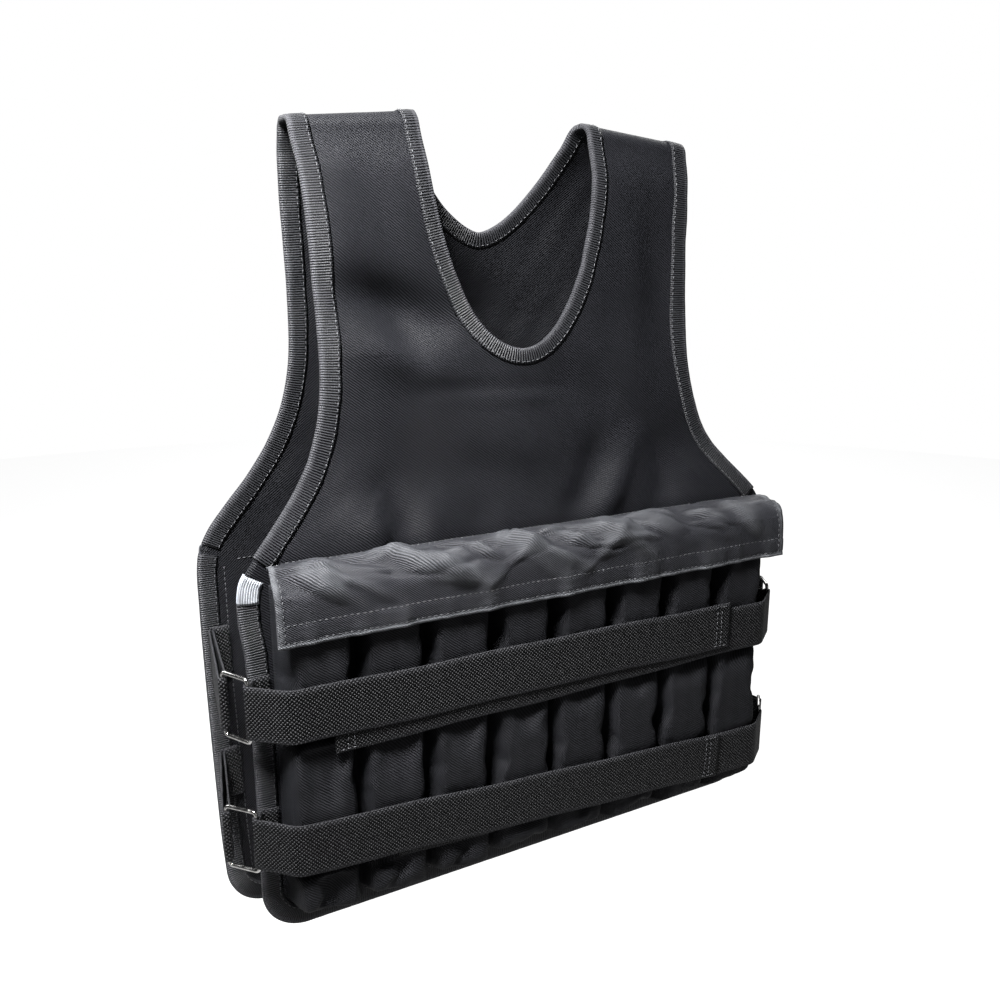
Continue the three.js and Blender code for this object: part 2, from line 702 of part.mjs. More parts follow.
add("front_flap", flapGeometry(FRONT, FRONT_PITCH, POUCH_DEPTH), clothBlack);
add("back_flap", flapGeometry(BACK, BACK_PITCH, BACK_POUCH_DEPTH), clothBlack);

for (const strap of STRAPS) {
  add(`${strap.name}_strap_over`, strapGeometry(strap, OVER_LAYER, strap.overEnd * FRONT_HALF, 1), webbingBlack);
  add(`${strap.name}_strap_under`, strapGeometry(strap, UNDER_LAYER, strap.underEnd * FRONT_HALF, -1), webbingBlack);
  for (const [name, hand] of [["left", 1], ["right", -1]]) {
    add(`${strap.name}_ring_${name}`, ringGeometry(strap, hand), brightWire);
    add(`${strap.name}_ring_loop_${name}`, loopGeometry(strap, hand), webbingBlack);
  }
}

export default vest;
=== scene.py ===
import math

import bpy
import numpy as np
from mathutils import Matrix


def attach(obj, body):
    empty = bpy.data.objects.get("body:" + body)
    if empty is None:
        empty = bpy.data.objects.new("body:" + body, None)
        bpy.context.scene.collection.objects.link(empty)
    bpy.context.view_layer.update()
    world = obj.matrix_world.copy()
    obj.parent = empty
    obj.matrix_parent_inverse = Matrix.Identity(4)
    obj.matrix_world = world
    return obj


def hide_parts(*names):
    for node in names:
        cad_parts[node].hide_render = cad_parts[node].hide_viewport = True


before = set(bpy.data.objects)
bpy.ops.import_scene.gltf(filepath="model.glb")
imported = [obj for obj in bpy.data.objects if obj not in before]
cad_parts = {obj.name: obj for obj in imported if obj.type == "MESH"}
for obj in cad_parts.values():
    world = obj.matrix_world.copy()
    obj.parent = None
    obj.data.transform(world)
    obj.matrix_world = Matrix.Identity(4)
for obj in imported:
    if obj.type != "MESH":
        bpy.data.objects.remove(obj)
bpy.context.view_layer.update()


# Camera, floor and light.
# The vest is looked at from the front and the left, a little from above, as a product photograph
# shows it. It hangs over a plain pale floor in soft light from panels, the strongest high on the left.

eye = bpy.data.cameras.new("eye")
eye.sensor_width = 36
eye.lens = 34.2
eye.clip_start = 0.01
camera = bpy.data.objects.new("eye", eye)
camera.location = (-0.33974, -0.64798, -0.10118)
camera.rotation_euler = (math.radians(76.41), 0, math.radians(-27.69))
bpy.context.collection.objects.link(camera)
bpy.context.scene.camera = camera


def fill_in(node, values):
    """Sets the named inputs of a shader node."""
    for socket, value in values.items():
        node.inputs[socket].default_value = value
    return node


def new_finish(name, values):
    """A material with its node tree and its shader, whose named inputs are set."""
    finish = bpy.data.materials.new(name)
    finish.use_nodes = True
    tree = finish.node_tree
    return finish, tree, fill_in(tree.nodes["Principled BSDF"], values)


def add_node(tree, kind, values={}):
    """A new shader node with its named inputs set."""
    return fill_in(tree.nodes.new("ShaderNode" + kind), values)


def add_ramp(tree, factor, first, dark, last, light):
    """The colours between two stops, picked by a factor."""
    ramp = add_node(tree, "ValToRGB")
    for stop, place, colour in zip(ramp.color_ramp.elements, (first, last), (dark, light)):
        stop.position = place
        stop.color = colour
    tree.links.new(factor, ramp.inputs["Fac"])
    return ramp.outputs["Color"]


pale, tree, shader = new_finish(
    "pale_floor", {"Roughness": 0.75, "Specular IOR Level": 0.2, "Emission Color": (1, 1, 1, 1)})
# The camera sees the floor nearly white, and less light comes up from it at the cloth.
seen = add_node(tree, "LightPath")
glow = add_node(tree, "MapRange", {"To Min": 0.13, "To Max": 0.90})
tree.links.new(seen.outputs["Is Camera Ray"], glow.inputs["Value"])
tree.links.new(glow.outputs["Result"], shader.inputs["Emission Strength"])
speckle = add_node(tree, "TexNoise", {"Scale": 3.0})
speckle_tone = add_ramp(tree, speckle.outputs["Fac"], 0, (0.22, 0.22, 0.221, 1), 1, (0.25, 0.25, 0.25, 1))
tree.links.new(speckle_tone, shader.inputs["Base Color"])

FLOOR_RADIUS = 3.4
FLOOR_LEVEL = -0.8
FLOOR_SIDES = 96
floor_mesh = bpy.data.meshes.new("floor")
floor_turns = np.linspace(0, 2 * math.pi, FLOOR_SIDES, endpoint=False)
floor_edge = [(FLOOR_RADIUS * math.cos(a), FLOOR_RADIUS * math.sin(a), FLOOR_LEVEL) for a in floor_turns]
floor_mesh.from_pydata(floor_edge, [], [tuple(range(FLOOR_SIDES))])
floor_mesh.materials.append(pale)
floor = bpy.data.objects.new("floor", floor_mesh)
bpy.context.collection.objects.link(floor)

# Lamps: name, place, aim, side in metres, watts, spread in degrees.
for lamp_name, place, aim, size, power, spread in [
    ("window_left", (-0.42, -0.33, 0.36), (-0.20, -0.06, -0.11), 0.24, 18, 125),
    ("panel_front", (0.5, -1.6, 0.3), (0.0, 0.0, -0.35), 1.2, 1.5, 180),
    ("panel_above", (-0.22, -0.12, 0.95), (-0.05, -0.09, -0.3), 0.25, 12, 180),
    ("panel_behind", (-0.8, 1.5, 0.5), (0.0, 0.0, -0.3), 1.0, 15, 180),
    ("panel_far_side", (1.3, 0.9, 0.6), (0.0, 0.0, -0.3), 0.9, 7, 180),
    ("floor_wash", (1.3, 2.4, 1.6), (1.0, 2.4, -0.8), 2.2, 30, 180),
]:
    lamp = bpy.data.lights.new(lamp_name, "AREA")
    lamp.size = size
    lamp.energy = power
    lamp.spread = math.radians(spread)
    lamp_object = bpy.data.objects.new(lamp_name, lamp)
    lamp_object.location = place
    lamp_object.visible_camera = False
    way = np.array(aim) - np.array(place)
    turn = math.atan2(way[1], way[0]) - math.pi / 2
    tip = math.atan2(np.hypot(way[0], way[1]), -way[2])
    lamp_object.rotation_euler = (tip, 0, turn)
    bpy.context.collection.objects.link(lamp_object)

# The backdrop is white to the camera, and dim as a light.
sky = bpy.data.worlds.new("sky")
sky.use_nodes = True
tree = sky.node_tree
backdrop = fill_in(tree.nodes["Background"], {"Color": (1, 1, 1, 1), "Strength": 1.0})
room = add_node(tree, "Background", {"Color": (0.93, 0.96, 1.0, 1), "Strength": 0.04})
seen = add_node(tree, "LightPath")
either = add_node(tree, "MixShader")
tree.links.new(seen.outputs["Is Camera Ray"], either.inputs["Fac"])
tree.links.new(room.outputs["Background"], either.inputs[1])
tree.links.new(backdrop.outputs["Background"], either.inputs[2])
tree.links.new(either.outputs["Shader"], tree.nodes["World Output"].inputs["Surface"])
bpy.context.scene.world = sky
bpy.context.scene.view_settings.view_transform = "Standard"


# Front and back panels.
# Two cut panels of heavy black twill over a thin felt, sewn to each other along the shoulders.
# Each is drawn on its flat cutting pattern, x across and s down from the shoulder seam (+ front, - back),
# and folded over the shoulders into its worn shape, with the soft folds and creases the real cloth has.

CLOTH = 0.0025
TAPE_WIDTH = 0.013
SHOULDER_ROUND = 0.010
SHOULDER_SLOPE = 0.11
SHOULDER_MIDDLE = 0.112
SHOULDER_FADE = 0.090
CORNER_ROUND = 0.030
NECK_HALF = 0.070

# One row per place down the panel: share of the length, forward reach, half width, swell.
FRONT = dict(
    side=-1, length=0.562, half=0.216, reach=0.048, swell=0.009,
    neck_depth=0.166, neck_power=2.0, tilt=0.026,
    rows=np.array([
        (0, 0, .732, 0), (.03, .03, .731, .1), (.08, .15, .718, .7), (.16, .22, .704, 1),
        (.25, .30, .696, 1), (.31, .41, .699, .9), (.345, .47, .708, .9), (.38, .53, .727, .8),
        (.415, .58, .759, .7), (.445, .66, .803, .5), (.475, .79, .862, .3), (.5, .91, .917, .1),
        (.525, 1, .972, 0), (.55, 1, 1.010, 0), (.59, 1, 1.018, 0), (.64, 1, 1.004, 0),
        (.76, 1, .998, 0), (1, 1, 1, 0)]),
)
BACK = dict(
    side=1, length=0.596, half=0.226, reach=0.038, swell=0.016,
    neck_depth=0.086, neck_power=1.5, tilt=0.0,
    rows=np.array([
        (0, 0, .700, 0), (.03, .09, .699, .1), (.06, .28, .693, .2), (.11, .46, .684, .3),
        (.2, .60, .668, .4), (.29, .66, .668, .5), (.35, .76, .695, .6), (.4, .86, .748, .7),
        (.44, .93, .816, .8), (.475, .97, .893, .9), (.51, 1, .962, 1), (.54, 1, .994, 1),
        (.6, .98, 1, 1), (.7, .90, 1, 1), (.8, .72, 1, 1), (.9, .46, 1, .9), (1, .14, .995, .8)]),
)
REACH, HALF, SWELL = 1, 2, 3


def read_row(rows, key, at):
    """Smooth value of one column of a panel's table at a share of its length."""
    at = np.asarray(at, float)
    i = np.clip(np.searchsorted(rows[:, 0], at, side="left"), 1, len(rows) - 1)
    a, b = rows[i - 1], rows[i]
    before, after = rows[np.maximum(i - 2, 0)], rows[np.minimum(i + 1, len(rows) - 1)]
    run = b[..., 0] - a[..., 0]
    t = np.clip((at - a[..., 0]) / run, 0, 1)
    slope_in = (b[..., key] - before[..., key]) / np.maximum(b[..., 0] - before[..., 0], 1e-9)
    slope_out = (after[..., key] - a[..., key]) / np.maximum(after[..., 0] - a[..., 0], 1e-9)
    rise_in = np.where(i > 1, slope_in, 0)
    rise_out = np.where(i < len(rows) - 1, slope_out, 0)
    h = t * t * (3 - 2 * t)
    bend = t * (1 - t) * ((1 - t) * rise_in - t * rise_out) * run
    return a[..., key] * (1 - h) + b[..., key] * h + bend


for panel in (FRONT, BACK):
    steps = np.arange(0, int(panel["length"] * 1000) + 41) / 1000
    arch = SHOULDER_ROUND * np.sin(np.minimum(steps / SHOULDER_ROUND, math.pi / 2))
    step_shares = np.minimum(steps / panel["length"], 1)
    panel["forward"] = arch + panel["reach"] * read_row(panel["rows"], REACH, step_shares)
    rise = np.minimum(np.abs(np.diff(panel["forward"])), 0.001)
    panel["down"] = np.concatenate([[0], np.cumsum(np.sqrt(1e-6 - rise**2))])
    panel["steps"] = steps


def half_width(panel, along):
    return panel["half"] * read_row(panel["rows"], HALF, np.asarray(along) / panel["length"])


def neck_half(panel, along):
    share = np.minimum(np.asarray(along) / panel["neck_depth"], 1)
    return NECK_HALF * np.maximum(1 - share ** panel["neck_power"], 0) ** (1 / panel["neck_power"])


def cloth_middle(x, s):
    """Where a point of the flat pattern lies once the cloth is worn."""
    x, s = np.broadcast_arrays(np.asarray(x, float), np.asarray(s, float))
    found = np.zeros(x.shape + (3,))
    for panel in (FRONT, BACK):
        along = np.abs(s)
        share = np.minimum(along / panel["length"], 1)
        across = np.minimum(np.abs(x) / panel["half"], 1)
        swell = panel["swell"] * read_row(panel["rows"], SWELL, share) * (1 - across**2)
        fade = np.maximum(1 - along / SHOULDER_FADE, 0)
        slope = SHOULDER_SLOPE * (SHOULDER_MIDDLE - np.abs(x)) * fade**2
        y = panel["side"] * (np.interp(along, panel["steps"], panel["forward"]) + swell)
        z = slope + panel["tilt"] * x * share**2 - np.interp(along, panel["steps"], panel["down"])
        here = (s >= 0) if panel is FRONT else (s < 0)
        found[here] = np.stack([x, y, z], axis=-1)[here]
    return found


def unit(ways):
    """The same ways, one metre long."""
    return ways / np.maximum(np.linalg.norm(ways, axis=-1, keepdims=True), 1e-12)


def off_cloth(x, s, out):
    """A point that stands off the worn cloth, + on the outside."""
    step = 0.0005
    x, s, out = np.broadcast_arrays(np.asarray(x, float), np.asarray(s, float), np.asarray(out, float))
    across = cloth_middle(x + step, s) - cloth_middle(x - step, s)
    along = cloth_middle(x, s + step) - cloth_middle(x, s - step)
    return cloth_middle(x, s) - unit(np.cross(across, along)) * out[..., None]


def crease(x, s, start, end, width, height):
    """A soft fold along a line of the pattern. One that ends at the flap is tallest there."""
    (x0, s0), (x1, s1) = start, end
    at_flap = abs(s1) > 0.295
    run = np.hypot(x1 - x0, s1 - s0)
    t = np.clip(((x - x0) * (x1 - x0) + (s - s0) * (s1 - s0)) / run**2, 0, 1)
    off = np.hypot(x - x0 - t * (x1 - x0), s - s0 - t * (s1 - s0))
    if at_flap:
        along = np.clip(t * 1.4, 0, 1) ** 0.8
    else:
        along = np.sin(math.pi * np.clip(t * 0.9 + 0.05, 0, 1)) ** 0.7
    return height * along * np.exp(-((off / width) ** 2))


# Folds: start, end, width and height, which one share makes taller. The front's come from the photograph.
FOLD_SHARE = 2.4
FOLDS = [
    ((-.139, .222), (-.117, .312), .011, .0042), ((-.117, .235), (-.098, .312), .010, -.0030),
    ((-.085, .262), (-.078, .315), .009, .0024), ((-.040, .268), (-.050, .315), .011, -.0020),
    ((.104, .225), (.052, .306), .009, .0036), ((.078, .215), (.030, .300), .010, -.0022),
    ((.150, .250), (.141, .312), .010, .0036), ((.128, .225), (.112, .310), .010, -.0026),
    ((.170, .285), (.160, .318), .008, .0022), ((-.085, .191), (.036, .194), .0035, -.0011),
    ((-.078, .197), (.030, .199), .0030, .0009), ((-.135, .060), (-.120, .200), .018, .0018),
    ((.120, .050), (.128, .190), .016, -.0018), ((-.100, .110), (-.082, .185), .014, -.0016),
    ((-.060, .215), (.030, .250), .022, .0022), ((.020, .180), (.080, .215), .018, -.0018),
    ((-.140, .118), (-.046, .148), .016, -.0052), ((-.130, .158), (-.056, .184), .013, .0034),
    ((-.120, -.090), (-.100, -.230), .020, .0020), ((.100, -.120), (.125, -.260), .018, -.0020),
    ((-.060, -.230), (-.030, -.300), .014, .0026), ((.030, -.215), (.055, -.300), .014, -.0024),
    ((.140, -.250), (.120, -.305), .011, .0026), ((-.140, -.240), (-.150, -.305), .011, -.0022),
    ((-.020, -.130), (.060, -.160), .020, .0016), ((-.080, -.180), (.010, -.200), .016, -.0014),
]
ripple_seed = np.random.default_rng(11)
RIPPLES = ripple_seed.uniform(-1, 1, (9, 4))


def relief(x, s):
    """How far the folds lift the cloth. It fades under the flap, where the pouches are sewn on."""
    along = np.abs(s)
    length = np.where(s >= 0, FRONT["length"], BACK["length"])
    lift = np.zeros(np.broadcast(x, s).shape)
    for start, end, width, height in FOLDS:
        same = (s >= 0) == (start[1] > 0)
        lift = lift + same * crease(x, s, start, end, width, height * FOLD_SHARE)
    for k, (a, b, c, d) in enumerate(RIPPLES):
        ripple = np.sin(x * (40 + 14 * k) * a * 2 + s * (30 + 9 * k) * b * 2 + c * 9 + d)
        lift = lift + 0.00035 / (1 + 0.2 * k) * ripple
    edge = np.interp(along / length, [0, .03, .08, .505, .53, .56, 1], [0, .3, 1, 1, .4, .08, .05])
    return lift * edge


def on_cloth(x, s, out):
    return off_cloth(x, s, out + relief(np.asarray(x, float), np.asarray(s, float)))


def pattern_rows(panel):
    """Rows of the flat pattern from the seam to the hem: along, half width, neck half width."""
    neck = panel["neck_depth"]
    straight = panel["length"] - CORNER_ROUND
    rows = list(np.arange(0.00015, 0.030, 0.0015))
    round_neck = [neck * math.sin(math.radians(a)) for a in np.arange(8, 90.1, 2.0)]
    rows += [s for s in round_neck if s > 0.031]
    rows += list(np.arange(neck + 0.004, straight - 0.003, 0.005))
    wide = [float(half_width(panel, s)) for s in rows]
    found = [(s, half, float(neck_half(panel, s))) for s, half in zip(rows, wide)]
    for degrees in np.arange(0, 90.1, 7.5):
        turn = math.radians(degrees)
        s = straight + CORNER_ROUND * math.sin(turn)
        found.append((s, float(half_width(panel, s)) - CORNER_ROUND * (1 - math.cos(turn)), 0.0))
    return found


def make_piece(name, points, faces, finish, flat=None, wear_and_highlight=None):
    """A mesh object with its flat lengths kept for the weave, and a value for its colour that marks wear on
    some pieces and a painted highlight on others.
    """
    mesh = bpy.data.meshes.new(name)
    corners = [tuple(p) for p in np.asarray(points, float)]
    mesh.from_pydata(corners, [], [tuple(int(i) for i in f) for f in faces])
    if flat is not None:
        layer = mesh.uv_layers.new(name="cloth")
        corner = np.empty(len(mesh.loops), dtype=np.int64)
        mesh.loops.foreach_get("vertex_index", corner)
        layer.data.foreach_set("uv", np.asarray(flat, float)[corner].ravel())
    values = np.zeros(len(mesh.vertices)) if wear_and_highlight is None else np.asarray(wear_and_highlight, float)
    mark = mesh.attributes.new("wear_and_highlight", "FLOAT", "POINT")
    mark.data.foreach_set("value", values)
    mesh.materials.append(finish)
    mesh.validate()
    mesh.update()
    mesh.polygons.foreach_set("use_smooth", np.ones(len(mesh.polygons), dtype=bool))
    piece = bpy.data.objects.new(name, mesh)
    bpy.context.collection.objects.link(piece)
    return piece


def face_out(points, faces):
    """Turns the faces of a closed mesh so that they look outward."""
    points = np.asarray(points, float)
    corners = np.array([(face[0], face[k], face[k + 1]) for face in faces for k in range(1, len(face) - 1)])
    a, b, c = points[corners[:, 0]], points[corners[:, 1]], points[corners[:, 2]]
    volume = (a * np.cross(b, c)).sum()
    return faces if volume > 0 else [tuple(reversed(f)) for f in faces]


def close_sheet(outer, inner, quads):
    """Outer and inner faces of a sheet, and a wall round every free edge."""
    count = len(outer)
    edges = {}
    faces = []
    for quad in quads:
        faces.append(tuple(quad))
        faces.append(tuple(i + count for i in reversed(quad)))
        for a, b in zip(quad, quad[1:] + quad[:1]):
            if edges.pop((b, a), None) is None:
                edges[(a, b)] = True
    faces += [(b, a, a + count, b + count) for a, b in edges]
    points = np.concatenate([outer, inner])
    return points, face_out(points, faces)


def grid_quads(rows, count):
    """The faces of a grid of points, row after row."""
    return [[r * count + k, r * count + k + 1, (r + 1) * count + k + 1, (r + 1) * count + k]
            for r in range(rows - 1) for k in range(count - 1)]


def woven(name, dark, light, pitch, slant, cross=0.5, roughness=0.7, sheen=0.03, relief_depth=0.00025,
          crumple=0.4, edge=(0.05, 0.05, 0.055, 1), specular=0.2, dots=False):
    """Woven cloth: slanted yarns from dark to light, soft colour drift, lint, and the edge colour where it
    is marked: wear on some pieces, a painted highlight on others.

    cross is the weft's share of the weave, and dots makes a plain weave whose crossings stand out.
    """
    finish, tree, shader = new_finish(name, {
        "Specular IOR Level": specular, "Sheen Weight": sheen, "Sheen Roughness": 0.45,
        "Sheen Tint": (0.55, 0.6, 0.7, 1)})
    link = tree.links.new
    flat = add_node(tree, "UVMap")
    flat.uv_map = "cloth"

    def yarns(turn, wide):
        mapping = add_node(tree, "Mapping", {"Rotation": (0, 0, turn)})
        link(flat.outputs["UV"], mapping.inputs["Vector"])
        wave = add_node(tree, "TexWave", {
            "Scale": 0.314159 / wide, "Distortion": 0.6, "Detail": 1.0, "Detail Scale": 2.0})
        link(mapping.outputs["Vector"], wave.inputs["Vector"])
        return wave.outputs["Fac"]

    def noise(scale, detail):
        cloud = add_node(tree, "TexNoise", {"Scale": scale, "Detail": detail})
        link(flat.outputs["UV"], cloud.inputs["Vector"])
        return cloud.outputs["Fac"]

    def combine(operation, a, b):
        node = add_node(tree, "Math")
        node.operation = operation
        for socket, value in zip(node.inputs, (a, b)):
            if isinstance(value, (int, float)):
                socket.default_value = value
            else:
                link(value, socket)
        return node.outputs[0]

    def bump(strength, distance, height):
        node = add_node(tree, "Bump", {"Strength": strength, "Distance": distance})
        link(height, node.inputs["Height"])
        return node

    warp = yarns(slant, pitch)
    weft = yarns(slant + math.pi / 2, pitch * (1 if dots else 0.62))
    weave = combine("ADD", combine("MULTIPLY", warp, 1 - cross), combine("MULTIPLY", weft, cross))
    if dots:
        weave = combine("MULTIPLY", combine("MULTIPLY", warp, weft), 1.35)
    drift = noise(7.0, 3.0)
    lint = noise(900.0, 2.0)
    tone = combine("ADD", combine("MULTIPLY", weave, 1.4), combine("MULTIPLY", drift, 0.42))
    tone = combine("ADD", tone, combine("MULTIPLY", lint, 0.3))
    tone = combine("SUBTRACT", tone, 0.12)
    # The marked places take the edge colour; on the flap and the pouches this is a painted highlight.
    wear_and_highlight = add_node(tree, "Attribute")
    wear_and_highlight.attribute_name = "wear_and_highlight"
    patches = combine("ADD", combine("MULTIPLY", noise(120.0, 4.0), 1.1), 0.1)
    wear_and_highlight_share = combine("MULTIPLY", wear_and_highlight.outputs["Fac"], patches)
    mix = add_node(tree, "Mix")
    mix.data_type = "RGBA"
    link(wear_and_highlight_share, mix.inputs["Factor"])
    link(add_ramp(tree, tone, 0.64, dark, 1.0, light), mix.inputs[6])
    mix.inputs[7].default_value = edge
    link(mix.outputs[2], shader.inputs["Base Color"])
    rough = add_node(tree, "MapRange", {"To Min": roughness - 0.08, "To Max": roughness + 0.1})
    link(weave, rough.inputs["Value"])
    link(rough.outputs["Result"], shader.inputs["Roughness"])
    folds = bump(crumple, 0.004, noise(38.0, 5.0))
    fine = bump(0.75, relief_depth, weave)
    link(folds.outputs["Normal"], fine.inputs["Normal"])
    link(fine.outputs["Normal"], shader.inputs["Normal"])
    return finish


panel_twill = woven(
    "panel_twill", (0.0002, 0.0002, 0.0003, 1), (0.0130, 0.0133, 0.0158, 1), 0.00152, math.radians(52),
    cross=0.25, roughness=0.44, sheen=0.012, crumple=0.2, specular=0.08, relief_depth=0.0005)

for panel, name, other in ((FRONT, "front", "back"), (BACK, "back", "front")):
    rows = pattern_rows(panel)
    spots, known, quads = [], {}, []
    shares = [1.0, 0.93, 0.82] + list(np.linspace(0.7, 0.0, 16))
    for hand in (-1, 1):
        grid = []
        for along, half, neck in rows:
            inner_edge = neck + TAPE_WIDTH
            places = [half, half - 0.005]
            places += [inner_edge + t * (half - neck - 2 * TAPE_WIDTH) for t in shares]
            places += [neck + 0.005, neck]
            line = []
            for x in places:
                key = (round(hand * x * 1e6), round(along * 1e6))
                if key not in known:
                    known[key] = len(spots)
                    spots.append((hand * x, along * -panel["side"]))
                line.append(known[key])
            grid.append(line)
        for r in range(len(grid) - 1):
            for c in range(len(grid[0]) - 1):
                quad = [grid[r][c], grid[r][c + 1], grid[r + 1][c + 1], grid[r + 1][c]]
                quad = [v for i, v in enumerate(quad) if v not in quad[:i]]
                if len(quad) > 2:
                    quads.append(quad if hand < 0 else quad[::-1])
    spots = np.array(spots)
    outer = on_cloth(spots[:, 0], spots[:, 1], CLOTH / 2)
    inner = on_cloth(spots[:, 0], spots[:, 1], -CLOTH / 2)
    points, faces = close_sheet(outer, inner, quads)
    cut = make_piece(f"{name}_panel_cloth", points, faces, panel_twill, flat=np.concatenate([spots, spots]))
    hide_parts(f"{name}_panel")
    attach(cut, "root")


# Edge binding tapes.
# Ribbed tape, 13 mm wide a side, folded over the neck, armhole and hem edges and sewn through near
# its inner edge with one row of stitches, which draws it in a little between its ribs.

GAP = 0.0003
FLAP_SEAM = 0.531
CORNER_START = 0.537
TAPE_THICK = 0.0009
TAPE_STEP = 0.0022
SEAM_INSET = 0.0021

tape_ribs = woven(
    "tape_ribs", (0.0006, 0.0006, 0.0008, 1), (0.022, 0.0225, 0.025, 1), 0.0017, 0.0,
    cross=0.14, roughness=0.42, sheen=0.012, relief_depth=0.0009, crumple=0.12, specular=0.13)
thread = woven(
    "thread", (0.012, 0.012, 0.013, 1), (0.070, 0.071, 0.076, 1), 0.0006, 0.6,
    cross=0.3, roughness=0.4, sheen=0.05, relief_depth=0.0001, crumple=0.0, specular=0.4)


def run_along(path):
    """How far along a path each of its points lies."""
    return np.concatenate([[0], np.cumsum(np.linalg.norm(np.diff(path, axis=0), axis=1))])


def resample(path, step, loop=False):
    """Points spread evenly along a path, about one step apart."""
    path = np.asarray(path, float)
    if loop:
        path = np.concatenate([path, path[:1]])
    run = run_along(path)
    count = max(int(round(run[-1] / step)), 2)
    at = np.linspace(0, run[-1], count + 1)
    if loop:
        at = at[:-1]
    return np.stack([np.interp(at, run, path[:, k]) for k in range(path.shape[1])], axis=1)


def path_ways(path, loop=False):
    """The way a path runs at each of its points."""
    if loop:
        way = np.roll(path, -1, axis=0) - np.roll(path, 1, axis=0)
    else:
        way = np.gradient(path, axis=0)
    return unit(way)


def sweep_section(rings, loop=False):
    """Closed section carried along: rings is stations x corners x 3."""
    stations, corners = rings.shape[:2]
    faces = []
    for i in range(stations if loop else stations - 1):
        j = (i + 1) % stations
        for c in range(corners):
            d = (c + 1) % corners
            faces.append((i * corners + c, i * corners + d, j * corners + d, j * corners + c))
    if not loop:
        faces.append(tuple(range(corners))[::-1])
        faces.append(tuple((stations - 1) * corners + c for c in range(corners)))
    points = rings.reshape(-1, 3)
    return points, face_out(points, faces)


def folded_tape(name, edge, cloth_side, node, loop=False, thick=TAPE_THICK, width=TAPE_WIDTH, finish=None,
                seed=1):
    """Tape folded over an edge. cloth_side is + where the cloth lies on the edge's left."""
    edge = resample(edge, TAPE_STEP, loop)
    way = path_ways(edge, loop)
    inward = cloth_side * np.stack([-way[:, 1], way[:, 0]], axis=1)
    wave = np.random.default_rng(seed).uniform(-1, 1, (6, 3))
    run = np.arange(len(edge)) * TAPE_STEP
    total = run[-1] + TAPE_STEP
    pucker = sum(a * np.sin(2 * math.pi * (np.round((6 + 22 * k) * (1.2 + b)) * run / total) + 6 * c)
                 for k, (a, b, c) in enumerate(wave)) / 6
    rest = CLOTH / 2 + 0.0001
    depths = np.linspace(width, 0.0008, 7)
    bulge = [0, 1, 1, 1, 1, 0.8, 0.4]
    outside = [(d, rest + thick * (0.55 + 0.45 * b)) for d, b in zip(depths, bulge)]
    turn = np.radians([60, 20, -20, -60])
    bend = [(-0.0004 - 0.0011 * math.cos(t), (rest + thick) * math.sin(t)) for t in turn]
    inside = [(d, -o) for d, o in reversed(outside)]
    back = [(d, -rest + 0.0002) for d in depths[::-1]] + [(0.0002, 0.0)]
    back += [(d, rest - 0.0002) for d in depths]
    section = np.array(outside + bend + inside + back)
    across = run_along(section)
    rings, flat, wear_and_highlight = [], [], []
    for k, (depth, out) in enumerate(section):
        soft = 0.00022 * pucker * (1 if abs(out) > rest else 0)
        wide = edge + inward * (depth + 0.0005 * pucker * (depth > 0.01))[:, None]
        rings.append(on_cloth(wide[:, 0], wide[:, 1], out + np.sign(out) * soft))
        flat.append(np.stack([run, np.full(len(run), across[k])], axis=1))
        wear_and_highlight.append(np.full(len(run), 0.75 if depth < 0.0012 else (0.35 if depth > width - 0.001 else 0.0)))
    rings = np.stack(rings, axis=1)
    points, faces = sweep_section(rings, loop)
    tape = make_piece(
        name, points, faces, finish or tape_ribs, flat=np.stack(flat, axis=1).reshape(-1, 2),
        wear_and_highlight=np.stack(wear_and_highlight, axis=1).ravel())
    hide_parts(node)
    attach(tape, "root")


def sew(name, lines, finish, length=0.0030, spacing=0.0042, radius=0.00034, seed=5):
    """Rows of stitches: each a short thread that dips into the cloth at both ends."""
    rng = np.random.default_rng(seed)
    points, faces, flat = [], [], []
    for line, away in lines:
        line = np.asarray(line, float)
        run = run_along(line)
        if run[-1] < spacing:
            continue
        starts = np.arange(spacing * 0.3, run[-1] - length, spacing)
        starts = starts + rng.uniform(-0.00015, 0.00015, len(starts))
        for start in starts:
            at = start + length * np.array([0.0, 0.22, 0.5, 0.78, 1.0])
            spine = np.stack([np.interp(at, run, line[:, k]) for k in range(3)], axis=1)
            lift = np.stack([np.interp(at, run, away[:, k]) for k in range(3)], axis=1)
            spine = spine + lift * (radius * np.array([-0.9, 0.25, 0.5, 0.25, -0.9]))[:, None]
            tangent = spine[-1] - spine[0]
            tangent /= max(np.linalg.norm(tangent), 1e-9)
            side = np.cross(tangent, lift[2])
            side /= max(np.linalg.norm(side), 1e-9)
            spine = spine + side * rng.uniform(-0.00012, 0.00012)
            base = len(points)
            for k, thick in enumerate((0.45, 0.95, 1.0, 0.95, 0.45)):
                for c in range(5):
                    angle = 2 * math.pi * c / 5
                    spoke = side * math.cos(angle) + lift[k] * math.sin(angle)
                    points.append(spine[k] + radius * thick * spoke)
                    flat.append((at[k], c * 0.0004))
            for k in range(4):
                ring = base + k * 5
                for c in range(5):
                    d = (c + 1) % 5
                    faces.append((ring + c, ring + d, ring + 5 + d, ring + 5 + c))
            faces.append(tuple(base + c for c in (4, 3, 2, 1, 0)))
            faces.append(tuple(base + 20 + c for c in range(5)))
    piece = make_piece(name, points, face_out(points, faces), finish, flat=flat)
    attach(piece, "root")


def away_from(line, inside):
    """Unit ways from a line of points towards its outside, given the same line a little further in."""
    return unit(np.asarray(line) - np.asarray(inside))


def seam_line(x, s, out):
    """A line of points on the cloth for sew(), with its outward ways."""
    line = on_cloth(x, s, out)
    inside = on_cloth(x, s, np.asarray(out) - math.copysign(0.001, float(np.mean(out))))
    return line, away_from(line, inside)


